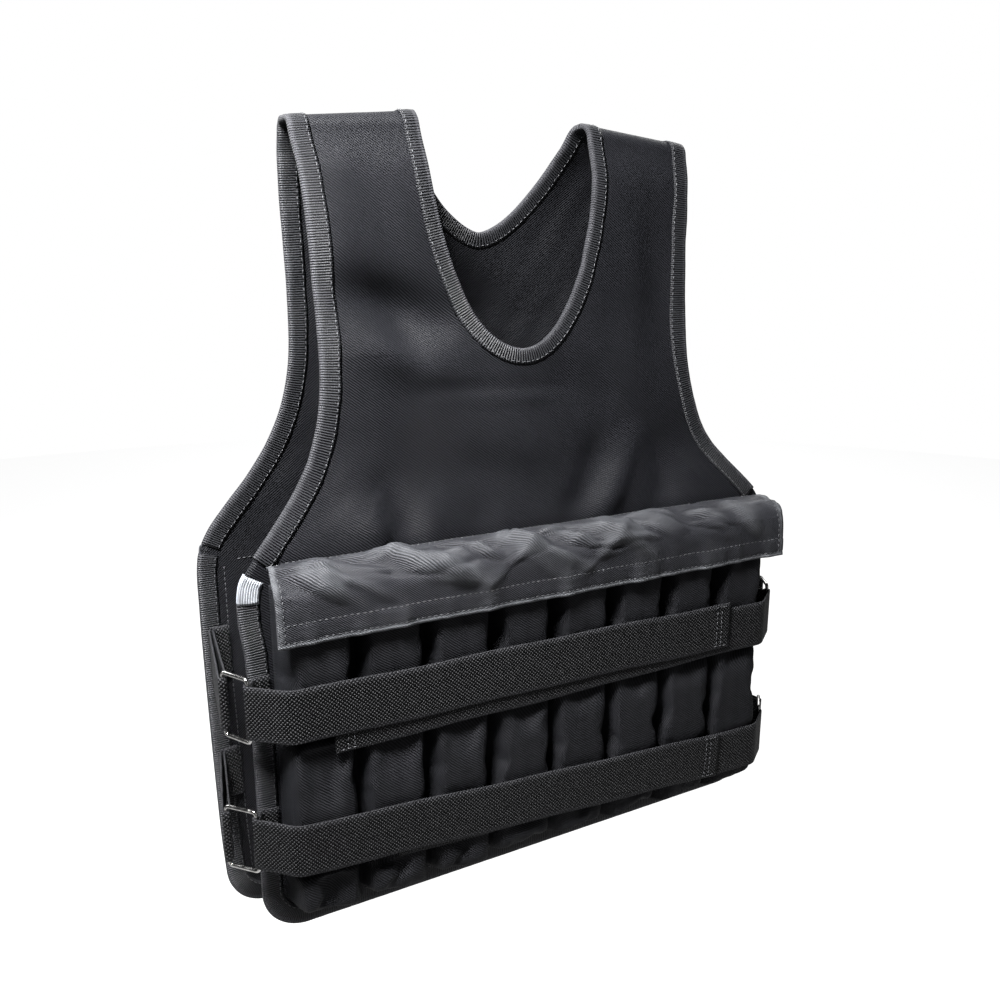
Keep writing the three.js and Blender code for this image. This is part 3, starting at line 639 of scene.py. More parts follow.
def tape_seams(edge, cloth_side, loop=False, width=TAPE_WIDTH):
    """The rows of stitches on both faces of a folded tape, near its inner edge."""
    edge = resample(edge, TAPE_STEP, loop)
    way = path_ways(edge, loop)
    inward = cloth_side * np.stack([-way[:, 1], way[:, 0]], axis=1)
    seam = edge + inward * (width - SEAM_INSET)
    return [seam_line(seam[:, 0], seam[:, 1], hand * (CLOTH / 2 + 0.0001 + TAPE_THICK)) for hand in (1, -1)]


# Neck: one closed loop round the scoop in front and the shallow curve behind.
angles = np.radians(np.linspace(0, 90, 60))
neck_line = []
for panel, hand in ((FRONT, 1), (BACK, -1)):
    along = panel["neck_depth"] * np.sin(angles)
    near = np.stack([hand * neck_half(panel, along), along * -panel["side"]], axis=1)
    far = near[::-1] * np.array([-1, 1])
    neck_line += [near[:-1], far[:-1]]
neck_line = np.concatenate(neck_line)
NECK_TAPE = 0.0108
folded_tape("neck_tape", neck_line, -1, "neck_binding", loop=True, width=NECK_TAPE, seed=3)
tape_lines = tape_seams(neck_line, -1, loop=True, width=NECK_TAPE)

# Armholes: from the front's upper corner over the shoulder to the back's.
for name, hand in (("left", -1), ("right", 1)):
    front_end = CORNER_START * FRONT["length"] - TAPE_WIDTH * 0.7
    back_end = FLAP_SEAM * BACK["length"] - TAPE_WIDTH * 0.5
    s = np.concatenate([np.linspace(front_end, 0.0002, 150), -np.linspace(0.0002, back_end, 150)])
    wide = np.where(s > 0, half_width(FRONT, np.abs(s)), half_width(BACK, np.abs(s)))
    edge = np.stack([hand * wide, s], axis=1)
    folded_tape(f"armhole_tape_{name}", edge, -hand, f"armhole_binding_{name}", seed=20 + hand)
    tape_lines += tape_seams(edge, -hand)


def hem_line(panel, start):
    """The edge from one upper corner down the side, along the hem and up again."""
    straight = panel["length"] - CORNER_ROUND
    s = np.concatenate([np.linspace(start, straight, 60),
                        straight + CORNER_ROUND * np.sin(np.radians(np.linspace(4, 90, 24)))])
    wide = half_width(panel, s)
    below = np.maximum(s - straight, 0) / CORNER_ROUND
    wide = wide - CORNER_ROUND * (1 - np.sqrt(np.maximum(1 - below**2, 0)))
    right = np.stack([wide, s * -panel["side"]], axis=1)
    middle = np.linspace(right[-1, 0], -right[-1, 0], 60)[1:-1]
    bottom = np.stack([middle, np.full(58, right[-1, 1])], axis=1)
    return np.concatenate([right, bottom, right[::-1] * np.array([-1, 1])])


for panel, name, start in ((FRONT, "front", CORNER_START * FRONT["length"] + TAPE_WIDTH * 1.5 + GAP),
                           (BACK, "back", FLAP_SEAM * BACK["length"] + GAP)):
    edge = hem_line(panel, start)
    side = 1 if panel is FRONT else -1
    folded_tape(f"{name}_hem_tape", edge, side, f"{name}_hem_binding", seed=31)
    tape_lines += tape_seams(edge, side)

sew("tape_stitches", tape_lines, thread, seed=8)


# Weight pouches.
# Three strips of soft twill across each panel, each sewn down between its eight columns and stuffed with
# weights, so that every column stands out between deep sewn valleys. The stuffing is a cloth
# simulation: pressure swells each strip while its valleys and edges stay sewn.

COLUMNS = 8
STITCH_DEPTH = 0.004
COLUMN_STEPS = 12
ROW_STEP = 0.0042
POUCH_CLEARANCE = 0.0027
STRAP_DENT = 0.0014
SWELL_FRAMES = 20
# Rows: name, top and bottom as shares of the panel's length, and how much the lower end thins out.
POUCH_ROWS = [("top", 0.549, 0.734, 0.30), ("middle", 0.738, 0.903, 0.34), ("bottom", 0.907, None, 0.75)]
# Sides: panel, name, width of a column, depth.
POUCH_SIDES = [(FRONT, "front", 0.0506, 0.031), (BACK, "back", 0.0526, 0.033)]
# Heights of the straps that press on the front pouches: middle, slant, half width.
STRAP_BANDS = [(0.386, 0.0, 0.021), (0.4, 0.0, 0.019), (0.492, 0.051, 0.021)]

# Its edge colour lightens the marked places: the painted highlight on the column flanks, and the lighter
# top and bottom edges.
pouch_twill = woven(
    "pouch_twill", (0.0002, 0.0002, 0.0003, 1), (0.0175, 0.0178, 0.0205, 1), 0.00145, math.radians(52),
    cross=0.3, roughness=0.56, sheen=0.01, crumple=0.5, specular=0.08, relief_depth=0.0005,
    edge=(0.050, 0.051, 0.056, 1))


def inside_tape(panel, s):
    """Half the width that the side and hem tapes leave free."""
    below = np.maximum(s - (panel["length"] - CORNER_ROUND), 0)
    turn = CORNER_ROUND - TAPE_WIDTH - 0.0016
    return panel["half"] - CORNER_ROUND + np.sqrt(turn * turn - below * below)


def pouch_end(panel, bottom):
    """Where a row ends: at its share of the panel, or just above the hem tape."""
    return bottom * panel["length"] if bottom else panel["length"] - TAPE_WIDTH - POUCH_CLEARANCE


stuffed = []
for panel, name, pitch, depth in POUCH_SIDES:
    for row_name, row_top, row_bottom, taper in POUCH_ROWS:
        top = row_top * panel["length"]
        height = pouch_end(panel, row_bottom) - top
        steps_down = max(int(round(height / ROW_STEP)), 8)
        count = COLUMNS * COLUMN_STEPS + 1
        v = np.linspace(0, 1, steps_down + 1)[:, None]
        c = np.arange(count)[None, :]
        mouth = np.sqrt(1 - (1 - v) ** 9)
        end = np.sqrt(np.maximum(1 - v**7, 0))
        rise = (0.72 + 0.28 * mouth) * (1 - taper + taper * end)
        narrow = np.minimum(inside_tape(panel, top + height * v) / (pitch * COLUMNS / 2), 1)
        x = (c / COLUMN_STEPS - COLUMNS / 2) * pitch * narrow
        u = np.abs((c % COLUMN_STEPS) / COLUMN_STEPS * 2 - 1)
        puff = (1 - u**5.2) ** (1 / 3)
        out = STITCH_DEPTH + (depth - STITCH_DEPTH) * puff * rise
        seat = CLOTH / 2 + GAP
        s = np.broadcast_to((top + height * v) * -panel["side"], x.shape)
        rng = np.random.default_rng(40 + len(stuffed))
        # Each column is filled a little differently, and its valleys pucker where the stitches draw in.
        column = np.minimum(c[0] // COLUMN_STEPS, COLUMNS - 1)
        fill = 1 + rng.uniform(-0.045, 0.01, COLUMNS)[column][None, :]
        lean = rng.uniform(-1, 1, (3, COLUMNS))[:, column]
        dents = 0.0016 * lean[0] * np.sin(math.pi * v * 1.3 + lean[1] * 3) * puff
        dents = dents + 0.0012 * lean[2] * (v - 0.5) * puff
        near_seam = np.exp(-((1 - u) / 0.22) ** 2)
        dents = dents - near_seam * rng.uniform(0, 0.0008, (len(v), count))
        start = seat + STITCH_DEPTH + (out - STITCH_DEPTH) * 0.96 * fill + dents * (u < 0.99)
        start = np.clip(start, seat + STITCH_DEPTH, seat + depth - 0.0006)
        outer = off_cloth(x, s, start).reshape(-1, 3)
        inner = off_cloth(x, s, np.full(x.shape, seat)).reshape(-1, 3)
        points, faces = close_sheet(outer, inner, grid_quads(len(v), count))
        spans = np.linalg.norm(np.diff(outer.reshape(len(v), count, 3), axis=1), axis=2)
        arc = np.cumsum(np.concatenate([np.zeros((len(v), 1)), spans], axis=1), axis=1)
        flat = np.stack([arc + 0.37 * len(stuffed), s], axis=-1).reshape(-1, 2)
        # Painted highlight: a speckled lighter band on both flanks of each column's crest; the top and
        # bottom edges are lighter too.
        crest = np.clip(1 - np.abs(u - 0.25) / 0.3, 0, 1) * 0.12 + (v < 0.02) * 0.9 + (v > 0.985) * 0.3
        wear_and_highlight = np.broadcast_to(crest, x.shape).ravel()
        strip = make_piece(
            f"{name}_pouch_strip_{row_name}", points, faces, pouch_twill, flat=np.concatenate([flat, flat]),
            wear_and_highlight=np.concatenate([wear_and_highlight, np.zeros(len(wear_and_highlight))]))
        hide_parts(f"{name}_pouches_{row_name}")
        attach(strip, "root")
        # Sewn down: the valleys, all four edges, and the whole inner face.
        sewn = np.ones((len(v), count), dtype=bool)
        sewn[1:-1, 1:-1] = (u[0, 1:-1] >= 0.99)[None, :]
        held = [int(i) for i in np.flatnonzero(sewn.ravel())] + list(range(len(outer), len(points)))
        strip.vertex_groups.new(name="sewn").add(held, 1.0, "REPLACE")
        # How far each point may stand off the panel: flat under a strap, freer between.
        free = seat + depth + 0.0008
        limit = np.full(x.shape, free)
        z = off_cloth(x, s, start)[..., 2]
        if panel is FRONT:
            for middle, slant, half in STRAP_BANDS:
                pressed = np.exp(-np.maximum(np.abs(z + middle + slant * x) - half, 0) ** 2 / 0.006**2)
                limit = np.minimum(limit, free - STRAP_DENT * pressed)
        stuffed.append(dict(piece=strip, start=points, x=x, s=s, out=start, limit=limit, count=len(outer)))

for strip in stuffed:
    swell = strip["piece"].modifiers.new("stuffing", "CLOTH")
    for setting, value in dict(
            vertex_group_mass="sewn", quality=4, mass=0.25, air_damping=2, tension_stiffness=14,
            compression_stiffness=12, shear_stiffness=5, bending_stiffness=0.35, use_pressure=True,
            uniform_pressure_force=4, shrink_min=-0.12).items():
        setattr(swell.settings, setting, value)
    swell.settings.effector_weights.gravity = 0
    swell.collision_settings.use_collision = False
for moment in range(1, SWELL_FRAMES + 1):
    bpy.context.scene.frame_set(moment)
graph = bpy.context.evaluated_depsgraph_get()
for strip in stuffed:
    swelled = strip["piece"].evaluated_get(graph).data
    moved = np.empty(len(swelled.vertices) * 3)
    swelled.vertices.foreach_get("co", moved)
    strip["moved"] = moved.reshape(-1, 3)
for strip in stuffed:
    strip["piece"].modifiers.remove(strip["piece"].modifiers["stuffing"])
bpy.context.scene.frame_set(1)
for strip in stuffed:
    count, x, s = strip["count"], strip["x"], strip["s"]
    shift = strip["moved"] - strip["start"]
    way = unit((off_cloth(x, s, strip["out"] + 0.001) - off_cloth(x, s, strip["out"])).reshape(-1, 3))
    step = shift[:count]
    off = np.clip((step * way).sum(axis=1), -0.008, 0.008)
    slide = step - way * (step * way).sum(axis=1)[:, None]
    slide *= np.minimum(1, 0.004 / np.maximum(np.linalg.norm(slide, axis=1), 1e-9))[:, None]
    reach = strip["out"].ravel() + off
    over = np.maximum(reach - strip["limit"].ravel(), 0)
    off = off - over * 0.96  # a little give is left under the straps
    settled = strip["start"].copy()
    settled[:count] += way * off[:, None] + slide
    strip["piece"].data.vertices.foreach_set("co", settled.ravel())
    strip["piece"].data.update()

for strip in stuffed:
    smooth = strip["piece"].modifiers.new("smooth", "SUBSURF")
    smooth.levels = 1
    smooth.render_levels = 1

# The stitches down the valleys, and the rows that show on the inside of each panel.
valley_lines = []
for panel, name, pitch, depth in POUCH_SIDES:
    for row_name, row_top, row_bottom, taper in POUCH_ROWS:
        top = row_top * panel["length"] + 0.004
        bottom = pouch_end(panel, row_bottom) - 0.002
        for k in range(1, COLUMNS):
            s = np.linspace(top, bottom, 40) * -panel["side"]
            x = np.full(40, (k - COLUMNS / 2) * pitch)
            valley_lines.append(seam_line(x, s, CLOTH / 2 + GAP + STITCH_DEPTH + 0.0003))
            valley_lines.append(seam_line(x, s, -CLOTH / 2 - 0.0002))
    for share in (0.545, 0.736, 0.905, 0.968):
        x = np.linspace(-0.198, 0.198, 120)
        s = np.full(120, share * panel["length"] * -panel["side"])
        valley_lines.append(seam_line(x, s, -CLOTH / 2 - 0.0002))
    for hand in (-1, 1):
        s = np.linspace(0.55, 0.955, 120) * panel["length"] * -panel["side"]
        valley_lines.append(seam_line(np.full(120, hand * 4 * pitch * 0.985), s, -CLOTH / 2 - 0.0002))
sew("pouch_stitches", valley_lines, thread, seed=9)


# Flaps over the pouch mouths.
# A strip of the panel twill, gathered a little where it is sewn on, that rolls out over the tops of the
# pouches and hangs down their fronts. Its lower hem is turned up and sewn with two rows.

FLAP_DROP = 0.043
FLAP_HALF_CLOTH = 0.001
FLAP_ACROSS = 181
FLAP_DOWN = 44
HEM_ROWS = (0.80, 0.955)
# Section from the seam out over the pouches and down: shares of the drop and of the pouches' depth.
FLAP_SECTION = np.array([(0, 0), (-.04, .36), (0, .70), (.12, .97), (.34, 1.08), (.64, 1.10), (1, 1.10)])
# Gathers: place across, width, and how far the flap's top sags there, as shares.
FLAP_GATHERS = [(-.72, .10, .08), (-.44, .08, .13), (-.20, .11, .10), (.08, .09, .13), (.34, .10, .11),
                (.62, .09, .12), (.86, .08, .08)]
# The six folds that stand out most in the photograph: place, slant, width, height.
FLAP_FOLDS = [(-.60, .50, .05, .0026), (-.24, .55, .045, .0034), (.04, -.5, .035, .0028),
              (.10, .45, .030, .0030), (.40, -.45, .035, .0034), (.50, .55, .028, -.0026)]

# Painted light: the flap is the panels' twill given a lighter colour, as it faces up into the light; its
# edge colour is the painted highlight of the hem and wrinkle crests.
flap_twill_painted_lit = woven(
    "flap_twill_painted_lit", (0.0003, 0.0003, 0.0004, 1), (0.029, 0.0295, 0.0342, 1), 0.00122, math.radians(52),
    cross=0.25, roughness=0.4, sheen=0.012, crumple=0.3, specular=0.13, relief_depth=0.0005,
    edge=(0.15, 0.155, 0.165, 1))


def smooth_path(knots, count):
    """A curve through the knots, evenly spread (Catmull-Rom)."""
    knots = np.asarray(knots, float)
    ends = np.concatenate([[2 * knots[0] - knots[1]], knots, [2 * knots[-1] - knots[-2]]])
    found = []
    for i in range(len(knots) - 1):
        a, b, c, d = ends[i:i + 4]
        t = np.linspace(0, 1, 24, endpoint=False)[:, None]
        bends = (2 * a - 5 * b + 4 * c - d) * t**2 + (3 * b - a - 3 * c + d) * t**3
        found.append(0.5 * (2 * b + (c - a) * t + bends))
    found = np.concatenate(found + [knots[-1:]])
    return resample(found, np.linalg.norm(np.diff(found, axis=0), axis=1).sum() / count)


flap_lines = []
for panel, name, pitch, depth in POUCH_SIDES:
    half = pitch * COLUMNS / 2 + 0.003
    section = smooth_path(FLAP_SECTION * np.array([FLAP_DROP, depth]), FLAP_DOWN)
    down, out = section[:, 0][:, None], section[:, 1][:, None]
    out_share = out / depth
    share = np.linspace(-1, 1, FLAP_ACROSS)[None, :]
    sag = sum(d * np.exp(-((share - a) / w) ** 2) for a, w, d in FLAP_GATHERS)
    sag = sag * depth * np.sin(np.minimum(out_share, 1) * math.pi)
    ease = 1 - 0.015 * np.maximum(1 - out_share, 0)
    x = share * half * ease + np.where(share > 0, 0.004 * share * out_share, 0)
    over_tape = np.where(np.abs(share) >= 0.955, 0.0026, 0) * (1 - np.minimum(out_share, 1))
    seam = FLAP_SEAM * panel["length"]
    s = (seam + down + sag) * -panel["side"]
    lift = CLOTH / 2 + GAP + 0.001 + over_tape + out
    middle = off_cloth(x, np.broadcast_to(s, x.shape), lift)
    across = np.gradient(middle, axis=1)
    along = np.gradient(middle, axis=0)
    normal = unit(np.cross(across, along))
    centre = middle.mean(axis=(0, 1)) * np.array([1, 0.2, 1])
    if (normal * (middle - centre)).sum() < 0:
        normal = -normal
    run = run_along(section)
    t = (run / run[-1])[:, None]
    # Wrinkles: slanting folds that start at the gathered seam and die out above the hem, then smaller
    # ones across them.
    rng = np.random.default_rng(61 if panel is FRONT else 67)
    wrinkle = np.zeros(x.shape)
    for k in range(26):
        at = -1.15 + 2.1 * (k + rng.uniform(0, 1)) / 26
        slant = rng.uniform(0.12, 0.5)
        wide = rng.uniform(0.016, 0.040)
        tall = rng.uniform(0.0026, 0.0062) * (1 if k % 2 else -0.8)
        first, last = rng.uniform(0.0, 0.25), rng.uniform(0.5, 0.9)
        span = np.clip((t - first) / 0.15, 0, 1) * np.clip((last - t) / 0.3, 0, 1)
        wrinkle += tall * span * np.exp(-((share - at - slant * t) / (wide * (1 + t))) ** 2)
    for k in range(36):
        at, level = rng.uniform(-1, 1), rng.uniform(0.12, 0.62)
        slope = rng.uniform(-0.9, 0.9)
        wide, tall = rng.uniform(0.02, 0.05), rng.uniform(0.0010, 0.0026) * rng.choice([-1, 1])
        line = np.abs((t - level) - slope * (share - at)) / wide
        wrinkle += tall * np.exp(-line**2) * np.exp(-((share - at) / rng.uniform(0.05, 0.14)) ** 2)
    for at, slant, wide, tall in FLAP_FOLDS:
        span = np.clip((t - 0.05) / 0.3, 0, 1) * np.clip((0.86 - t) / 0.3, 0, 1)
        off = np.abs(share - at - slant * (t - 0.1)) / wide
        wrinkle += tall * span * np.exp(-off**1.6)
    # Lumps along the top, where the cloth lies over the pouches' mouths.
    for k in range(15):
        at = -0.93 + 1.86 * (k + rng.uniform(0.1, 0.9)) / 15
        wide, tall = rng.uniform(0.03, 0.062), rng.uniform(0.0008, 0.0032)
        level = rng.uniform(0.16, 0.34)
        lump = np.exp(-((share - at - 0.2 * (t - level)) / wide) ** 2)
        wrinkle += tall * lump * np.exp(-((t - level) / 0.16) ** 2)
    hem = np.clip((t - 0.78) / 0.02, 0, 1)
    slack = 0.0011 * np.sin(share * 19 + 1.3) + 0.0007 * np.sin(share * 41 + 0.4)
    slack = slack + 0.0004 * np.sin(share * 83)
    wrinkle = wrinkle * np.clip(t / 0.06, 0, 1) + slack * np.clip((t - 0.5) / 0.5, 0, 1)
    wrinkle = np.clip(wrinkle, -0.0036 + 0.0030 * np.clip((t - 0.45) / 0.15, 0, 1), 0.0085)
    middle = middle + normal * wrinkle[..., None]
    across, along = np.gradient(middle, axis=1), np.gradient(middle, axis=0)
    fresh = unit(np.cross(across, along))
    normal = fresh * np.sign((fresh * normal).sum(axis=-1, keepdims=True))
    # The turned hem is double cloth, and draws in along its two seams.
    seams = sum(np.exp(-((t - level) / 0.012) ** 2) for level in HEM_ROWS)
    thick = FLAP_HALF_CLOTH + 0.0005 * hem - 0.0005 * seams
    outer = (middle + normal * thick[..., None]).reshape(-1, 3)
    inner = (middle - normal * FLAP_HALF_CLOTH).reshape(-1, 3)
    rows_down, count = x.shape
    points, faces = close_sheet(outer, inner, grid_quads(rows_down, count))
    flat = [np.broadcast_to(share * half, x.shape), np.broadcast_to(run[:, None], x.shape)]
    flat = np.stack(flat, axis=-1).reshape(-1, 2)
    # Painted highlight in the flap's edge colour: the folded lower hem and the crests of the wrinkles are
    # made lighter, and the side edges are lighter too.
    wear_and_highlight = (np.abs(share) > 0.985) * 0.5 + (t > 0.97) * 0.95 + np.clip(wrinkle * 90, 0, 0.25)
    wear_and_highlight = np.clip(wear_and_highlight, 0, 1).ravel()
    flap = make_piece(f"{name}_flap_cloth", points, faces, flap_twill_painted_lit,
                      flat=np.concatenate([flat, flat]), wear_and_highlight=np.concatenate([wear_and_highlight, wear_and_highlight]))
    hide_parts(f"{name}_flap")
    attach(flap, "root")
    grid = outer.reshape(rows_down, count, 3)
    for level in HEM_ROWS:
        r = int(round(level * (rows_down - 1)))
        flap_lines.append((grid[r], normal[r]))
    for c in (2, count - 3):
        flap_lines.append((grid[int(rows_down * 0.3):, c], normal[int(rows_down * 0.3):, c]))
    flap_lines.append((grid[1], normal[1]))
sew("flap_stitches", flap_lines, thread, seed=12)


# Light ends of tape at the front's upper corners.
# A short folded end of grey tape closes the front panel's upper corner on each side. It is sewn over
# the edge between the armhole tape and the side tape, and is a little thicker than both.

CORNER_THICK = 0.00162

grey_tape = woven(
    "grey_tape", (0.13, 0.137, 0.15, 1), (0.36, 0.375, 0.40, 1), 0.0016, math.radians(90),
    cross=0.2, roughness=0.6, sheen=0.3, relief_depth=0.0004, crumple=0.5, specular=0.3,
    edge=(0.12, 0.125, 0.135, 1))
for name, hand in (("left", -1), ("right", 1)):
    corner_top = CORNER_START * FRONT["length"]
    s = np.linspace(corner_top + GAP, corner_top + TAPE_WIDTH * 1.5, 12)
    edge = np.stack([hand * half_width(FRONT, s), s], axis=1)
    folded_tape(f"corner_tape_{name}", edge, hand, f"corner_fold_{name}", thick=CORNER_THICK,
                finish=grey_tape, seed=50 + hand)


# Side straps.
# Coarse black webbing, 38 mm wide. On each level one strap comes from the left and one from the right,
# and the left one lies on top. Each is sewn to the front panel's edge, passes the ring and crosses the
# pouches.

WEBBING_WIDTH = 0.038
WEBBING_THICK = 0.0014
WIRE = 0.0014
RING_SPAN, RING_HEIGHT, RING_CORNER = 0.024, 0.0446, 0.003
LOOP_STEP, LOOP_DROP = 0.0012, 0.004
OVER_TAPE = CLOTH / 2 + 0.0008 + TAPE_THICK + GAP
PANEL_FORWARD = SHOULDER_ROUND + FRONT["reach"]
FRONT_PITCH, POUCH_DEPTH = POUCH_SIDES[0][2:]
ANCHOR_LAYER = PANEL_FORWARD + OVER_TAPE + WEBBING_THICK / 2
UNDER_LAYER = PANEL_FORWARD + CLOTH / 2 + GAP + POUCH_DEPTH + GAP + WEBBING_THICK / 2
OVER_LAYER = UNDER_LAYER + GAP + WEBBING_THICK
WRAP = WIRE + GAP + WEBBING_THICK / 2
BAR_REACH, BAR_FORWARD = 0.0045, 0.009
STRAP_CORNER, STRAP_TUCK, ANCHOR_LENGTH = 0.016, 0.006, 0.012
SEWN_HALF = 0.0165
STRAP_STEP = 0.0022
# Name, level and slant, level and slant of the strap beneath, ends of both, flare of the rings.
STRAPS = [("upper", .698, 0.0, .716, -.023, .745, .79, 29),
          ("lower", .888, .051, .891, .040, .725, .59, 42)]

webbing = woven(
    "webbing", (0.0002, 0.0002, 0.0003, 1), (0.038, 0.038, 0.040, 1), 0.0020, math.radians(42),
    cross=0.5, dots=True, roughness=0.5, sheen=0.01, relief_depth=0.0012, crumple=0.1, specular=0.10,
    edge=(0.045, 0.045, 0.05, 1))


def webbing_band(name, path, up, slot_node, ripple=0.0, seed=3):
    """A flat band whose middle follows path; up is the way across its width."""
    path = np.asarray(path, float)
    way = path_ways(path)
    up = unit(up - way * (up * way).sum(axis=1, keepdims=True))
    normal = np.cross(way, up)
    run = run_along(path)
    rng = np.random.default_rng(seed)
    half, thin = WEBBING_WIDTH / 2, WEBBING_THICK / 2
    widths = np.linspace(-half + 0.0007, half - 0.0007, 11)
    front = [(w, thin) for w in widths]
    tip = [(half - 0.0002, thin * 0.6), (half, 0.0), (half - 0.0002, -thin * 0.6)]
    section = front + tip + [(w, -thin) for w in widths[::-1]] + [(-w, -o) for w, o in tip]
    cross = run_along(np.array(section))
    wander = ripple * sum(np.sin(run * f + p) for f, p in zip((24, 57), rng.uniform(0, 6, 2)))
    rings, flat, wear_and_highlight = [], [], []
    for k, (w, o) in enumerate(section):
        scale = 1 + 0.5 * ripple * np.sin(run * 140 + 2 * k)
        rings.append(path + up * (w * scale + wander)[:, None] + normal * o)
        flat.append(np.stack([run, np.full(len(run), cross[k])], axis=1))
        wear_and_highlight.append(np.full(len(run), 0.5 if abs(w) > half - 0.0012 else 0.0))
    points, faces = sweep_section(np.stack(rings, axis=1))
    band = make_piece(name, points, faces, webbing, flat=np.stack(flat, axis=1).reshape(-1, 2),
                      wear_and_highlight=np.stack(wear_and_highlight, axis=1).ravel())
    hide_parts(slot_node)
    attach(band, "root")
    return path, up, normal


def plan_arc(centre, radius, start, end, count):
    """An arc seen from above, between two angles in degrees."""
    turn = np.radians(np.linspace(start, end, count))
    return [(centre[0] + radius * math.cos(a), centre[1] + radius * math.sin(a)) for a in turn]


def strap_height(strap, hand, x):
    """Height of a strap's middle: hand is + for the one on top, whose ring is on the left."""
    level, slant = strap[1:3] if hand > 0 else strap[3:5]
    return cloth_middle(0.0, level * FRONT["length"])[..., 2] - slant * x


def ring_bars(strap):
    """A left ring seen from above: its front bar, its rear bar and the way between them."""
    flare = math.radians(strap[7])
    front = np.array([-FRONT["half"] - BAR_REACH, -ANCHOR_LAYER - BAR_FORWARD])
    way = np.array([-math.sin(flare), math.cos(flare)])
    return front, front + way * RING_SPAN, way


def end_path(strap, layer, end_x):
    """A strap from above: from its sewn end over the pouches, round the ring's bar to the panel's edge."""
    front, back, way = ring_bars(strap)
    turn_x = -FRONT_PITCH * COLUMNS / 2 + STRAP_CORNER - STRAP_TUCK
    plan = [(x, -layer) for x in np.linspace(end_x, turn_x, 60)[:-1]]
    plan += plan_arc((turn_x, -layer + STRAP_CORNER), STRAP_CORNER, -90, -134, 10)
    plan += plan_arc(front, WRAP, -140, -330, 18)
    plan += [(-FRONT["half"] + reach, -ANCHOR_LAYER) for reach in (0.001, ANCHOR_LENGTH)]
    return np.array(plan)


strap_lines = []
for strap in STRAPS:
    for label, layer, end_x, hand in (("over", OVER_LAYER, strap[5] * FRONT["half"], 1),
                                      ("under", UNDER_LAYER, strap[6] * FRONT["half"], -1)):
        plan = resample(end_path(strap, layer, end_x), STRAP_STEP)
        plan[:, 0] *= hand
        height = strap_height(strap, hand, plan[:, 0])
        path = np.stack([plan[:, 0], plan[:, 1], height], axis=1)
        up = np.zeros(path.shape)
        up[:, 2] = 1
        path, up, normal = webbing_band(
            f"{strap[0]}_strap_webbing_{label}", path, up, f"{strap[0]}_strap_{label}", ripple=0.0004,
            seed=int(strap[1] * 1000) + hand)
        face = np.sign(normal[5, 1]) * -1
        out = normal * face * (WEBBING_THICK / 2 + 0.0001)
        # Two rows of stitches across each sewn end, and one along each edge near it.
        for row in (4, 6):
            spread = np.linspace(-SEWN_HALF, SEWN_HALF, 30)
            spot = path[row] + out[row] + up[row] * spread[:, None]
            strap_lines.append((spot, np.repeat(unit(out[row:row + 1]), 30, axis=0)))
        for edge in (-SEWN_HALF, SEWN_HALF):
            spot = path[1:9] + out[1:9] + up[1:9] * edge
            strap_lines.append((spot, unit(out[1:9])))
sew("strap_stitches", strap_lines, thread, radius=0.0004, seed=14)


# Rings and their loops.
# Rectangular rings of bright steel wire, one at each end of each strap level. The strap passes round
# the front bar. A short loop of webbing, both ends sewn inside the back panel's edge, holds the rear bar.

steel, tree, shader = new_finish("bright_steel", {"Metallic": 1.0})
place = add_node(tree, "TexCoord")
grain = add_node(tree, "TexNoise", {"Scale": 420, "Detail": 6})
tree.links.new(place.outputs["Object"], grain.inputs["Vector"])
rough = add_node(tree, "MapRange", {"From Min": 0.35, "From Max": 0.75, "To Min": 0.1, "To Max": 0.3})
tree.links.new(grain.outputs["Fac"], rough.inputs["Value"])
tree.links.new(rough.outputs["Result"], shader.inputs["Roughness"])
steel_tone = add_ramp(tree, grain.outputs["Fac"], 0.3, (0.42, 0.41, 0.40, 1), 0.6, (0.78, 0.77, 0.75, 1))
tree.links.new(steel_tone, shader.inputs["Base Color"])

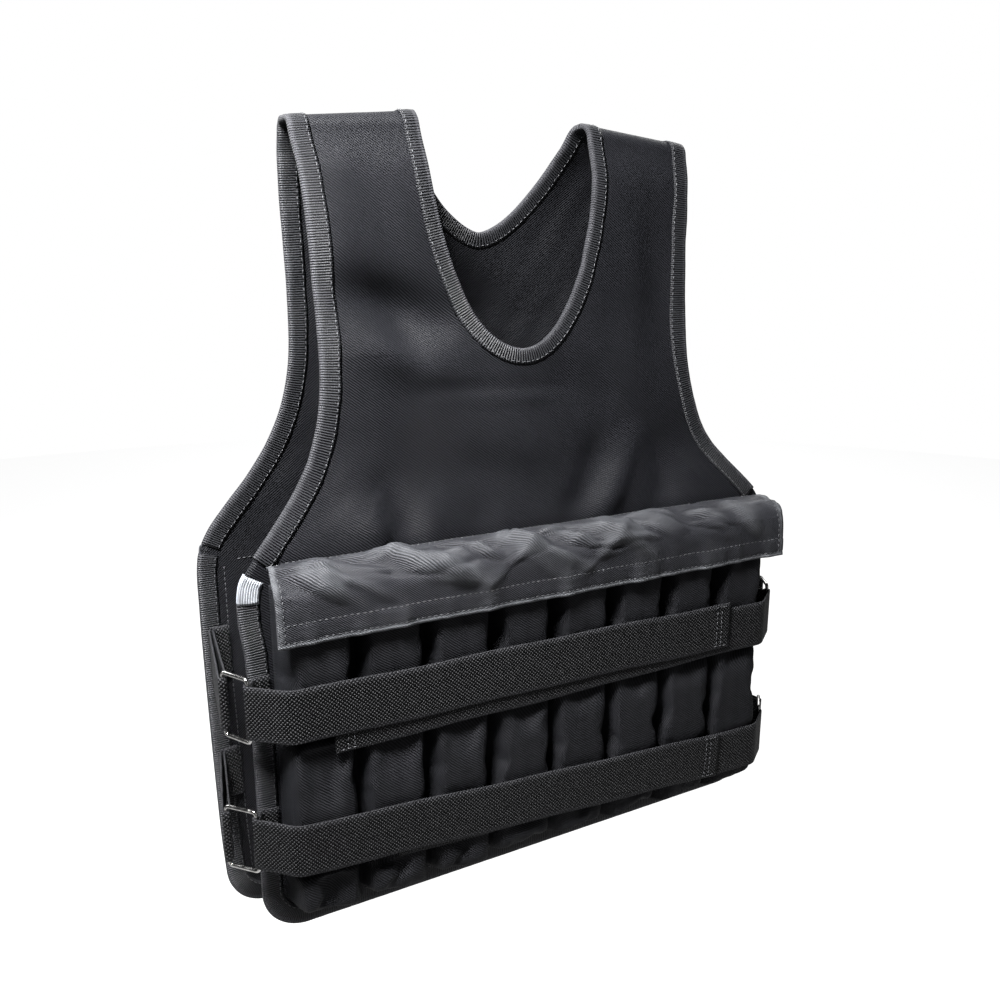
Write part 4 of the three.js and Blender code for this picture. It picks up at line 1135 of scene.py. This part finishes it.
for strap in STRAPS:
    for label, hand in (("left", 1), ("right", -1)):
        front, back, way = ring_bars(strap)
        middle = (front + back) / 2
        height = float(strap_height(strap, hand, hand * middle[0]))
        across = np.array([hand * way[0], way[1], 0.0])
        outward = np.array([-across[1], across[0], 0.0])
        level = np.array([hand * middle[0], middle[1], height])
        rings = []
        for corner_x, corner_z, first in ((1, 1, 0), (-1, 1, 90), (-1, -1, 180), (1, -1, 270)):
            for i in range(8):
                turn = math.radians(first + 90 * i / 7)
                radial = across * math.cos(turn) + np.array([0, 0, math.sin(turn)])
                centre = level + across * corner_x * (RING_SPAN / 2 - RING_CORNER)
                centre = centre + np.array([0, 0, corner_z * (RING_HEIGHT / 2 - RING_CORNER)])
                centre = centre + radial * RING_CORNER
                rings.append([centre + radial * WIRE * math.cos(a) + outward * WIRE * math.sin(a)
                              for a in np.linspace(0, 2 * math.pi, 14, endpoint=False)])
        points, faces = sweep_section(np.array(rings), loop=True)
        ring = make_piece(f"{strap[0]}_ring_wire_{label}", points, faces, steel)
        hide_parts(f"{strap[0]}_ring_{label}")
        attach(ring, "root")

        # The loop's middle line and both its edges, from the panel round the rear bar and back.
        drops = BACK["down"]
        edges = []
        for raise_by in (WEBBING_WIDTH / 2, 0.0, -WEBBING_WIDTH / 2):
            s = float(np.interp(-(height + raise_by), drops, BACK["steps"]))

            def sewn(x, layer):
                out = -(OVER_TAPE + GAP + WEBBING_THICK * (layer + 0.5) + GAP * layer)
                return off_cloth(x, -s, out)[:2]

            anchor_x = -BACK["half"] + TAPE_WIDTH + 0.004
            bend_x = -BACK["half"] + 0.003
            pull = sewn(bend_x, 0) - back
            heading = math.degrees(math.atan2(pull[1], pull[0]))
            drop = np.array([0, -LOOP_DROP])
            plan = [sewn(anchor_x, 1), sewn(bend_x + 0.004, 1), sewn(bend_x + 0.0016, 1) + drop]
            plan += plan_arc(back, WRAP, heading - 84, heading - 276, 14)
            plan += [sewn(bend_x - 0.0006, 0) + drop, sewn(bend_x + 0.002, 0), sewn(anchor_x, 0)]
            plan = resample(np.array([np.asarray(p, float) for p in plan]), LOOP_STEP)
            edges.append(plan)
        count = min(len(e) for e in edges)
        even = np.linspace(0, 1, count)
        edges = [np.stack([np.interp(even, np.linspace(0, 1, len(e)), e[:, k]) for k in range(2)], axis=1)
                 for e in edges]
        lines = [np.concatenate([e * np.array([hand, 1]), np.full((count, 1), height + raise_by)], axis=1)
                 for e, raise_by in zip(edges, (WEBBING_WIDTH / 2, 0.0, -WEBBING_WIDTH / 2))]
        webbing_band(
            f"{strap[0]}_loop_webbing_{label}", lines[1], lines[0] - lines[2],
            f"{strap[0]}_ring_loop_{label}")
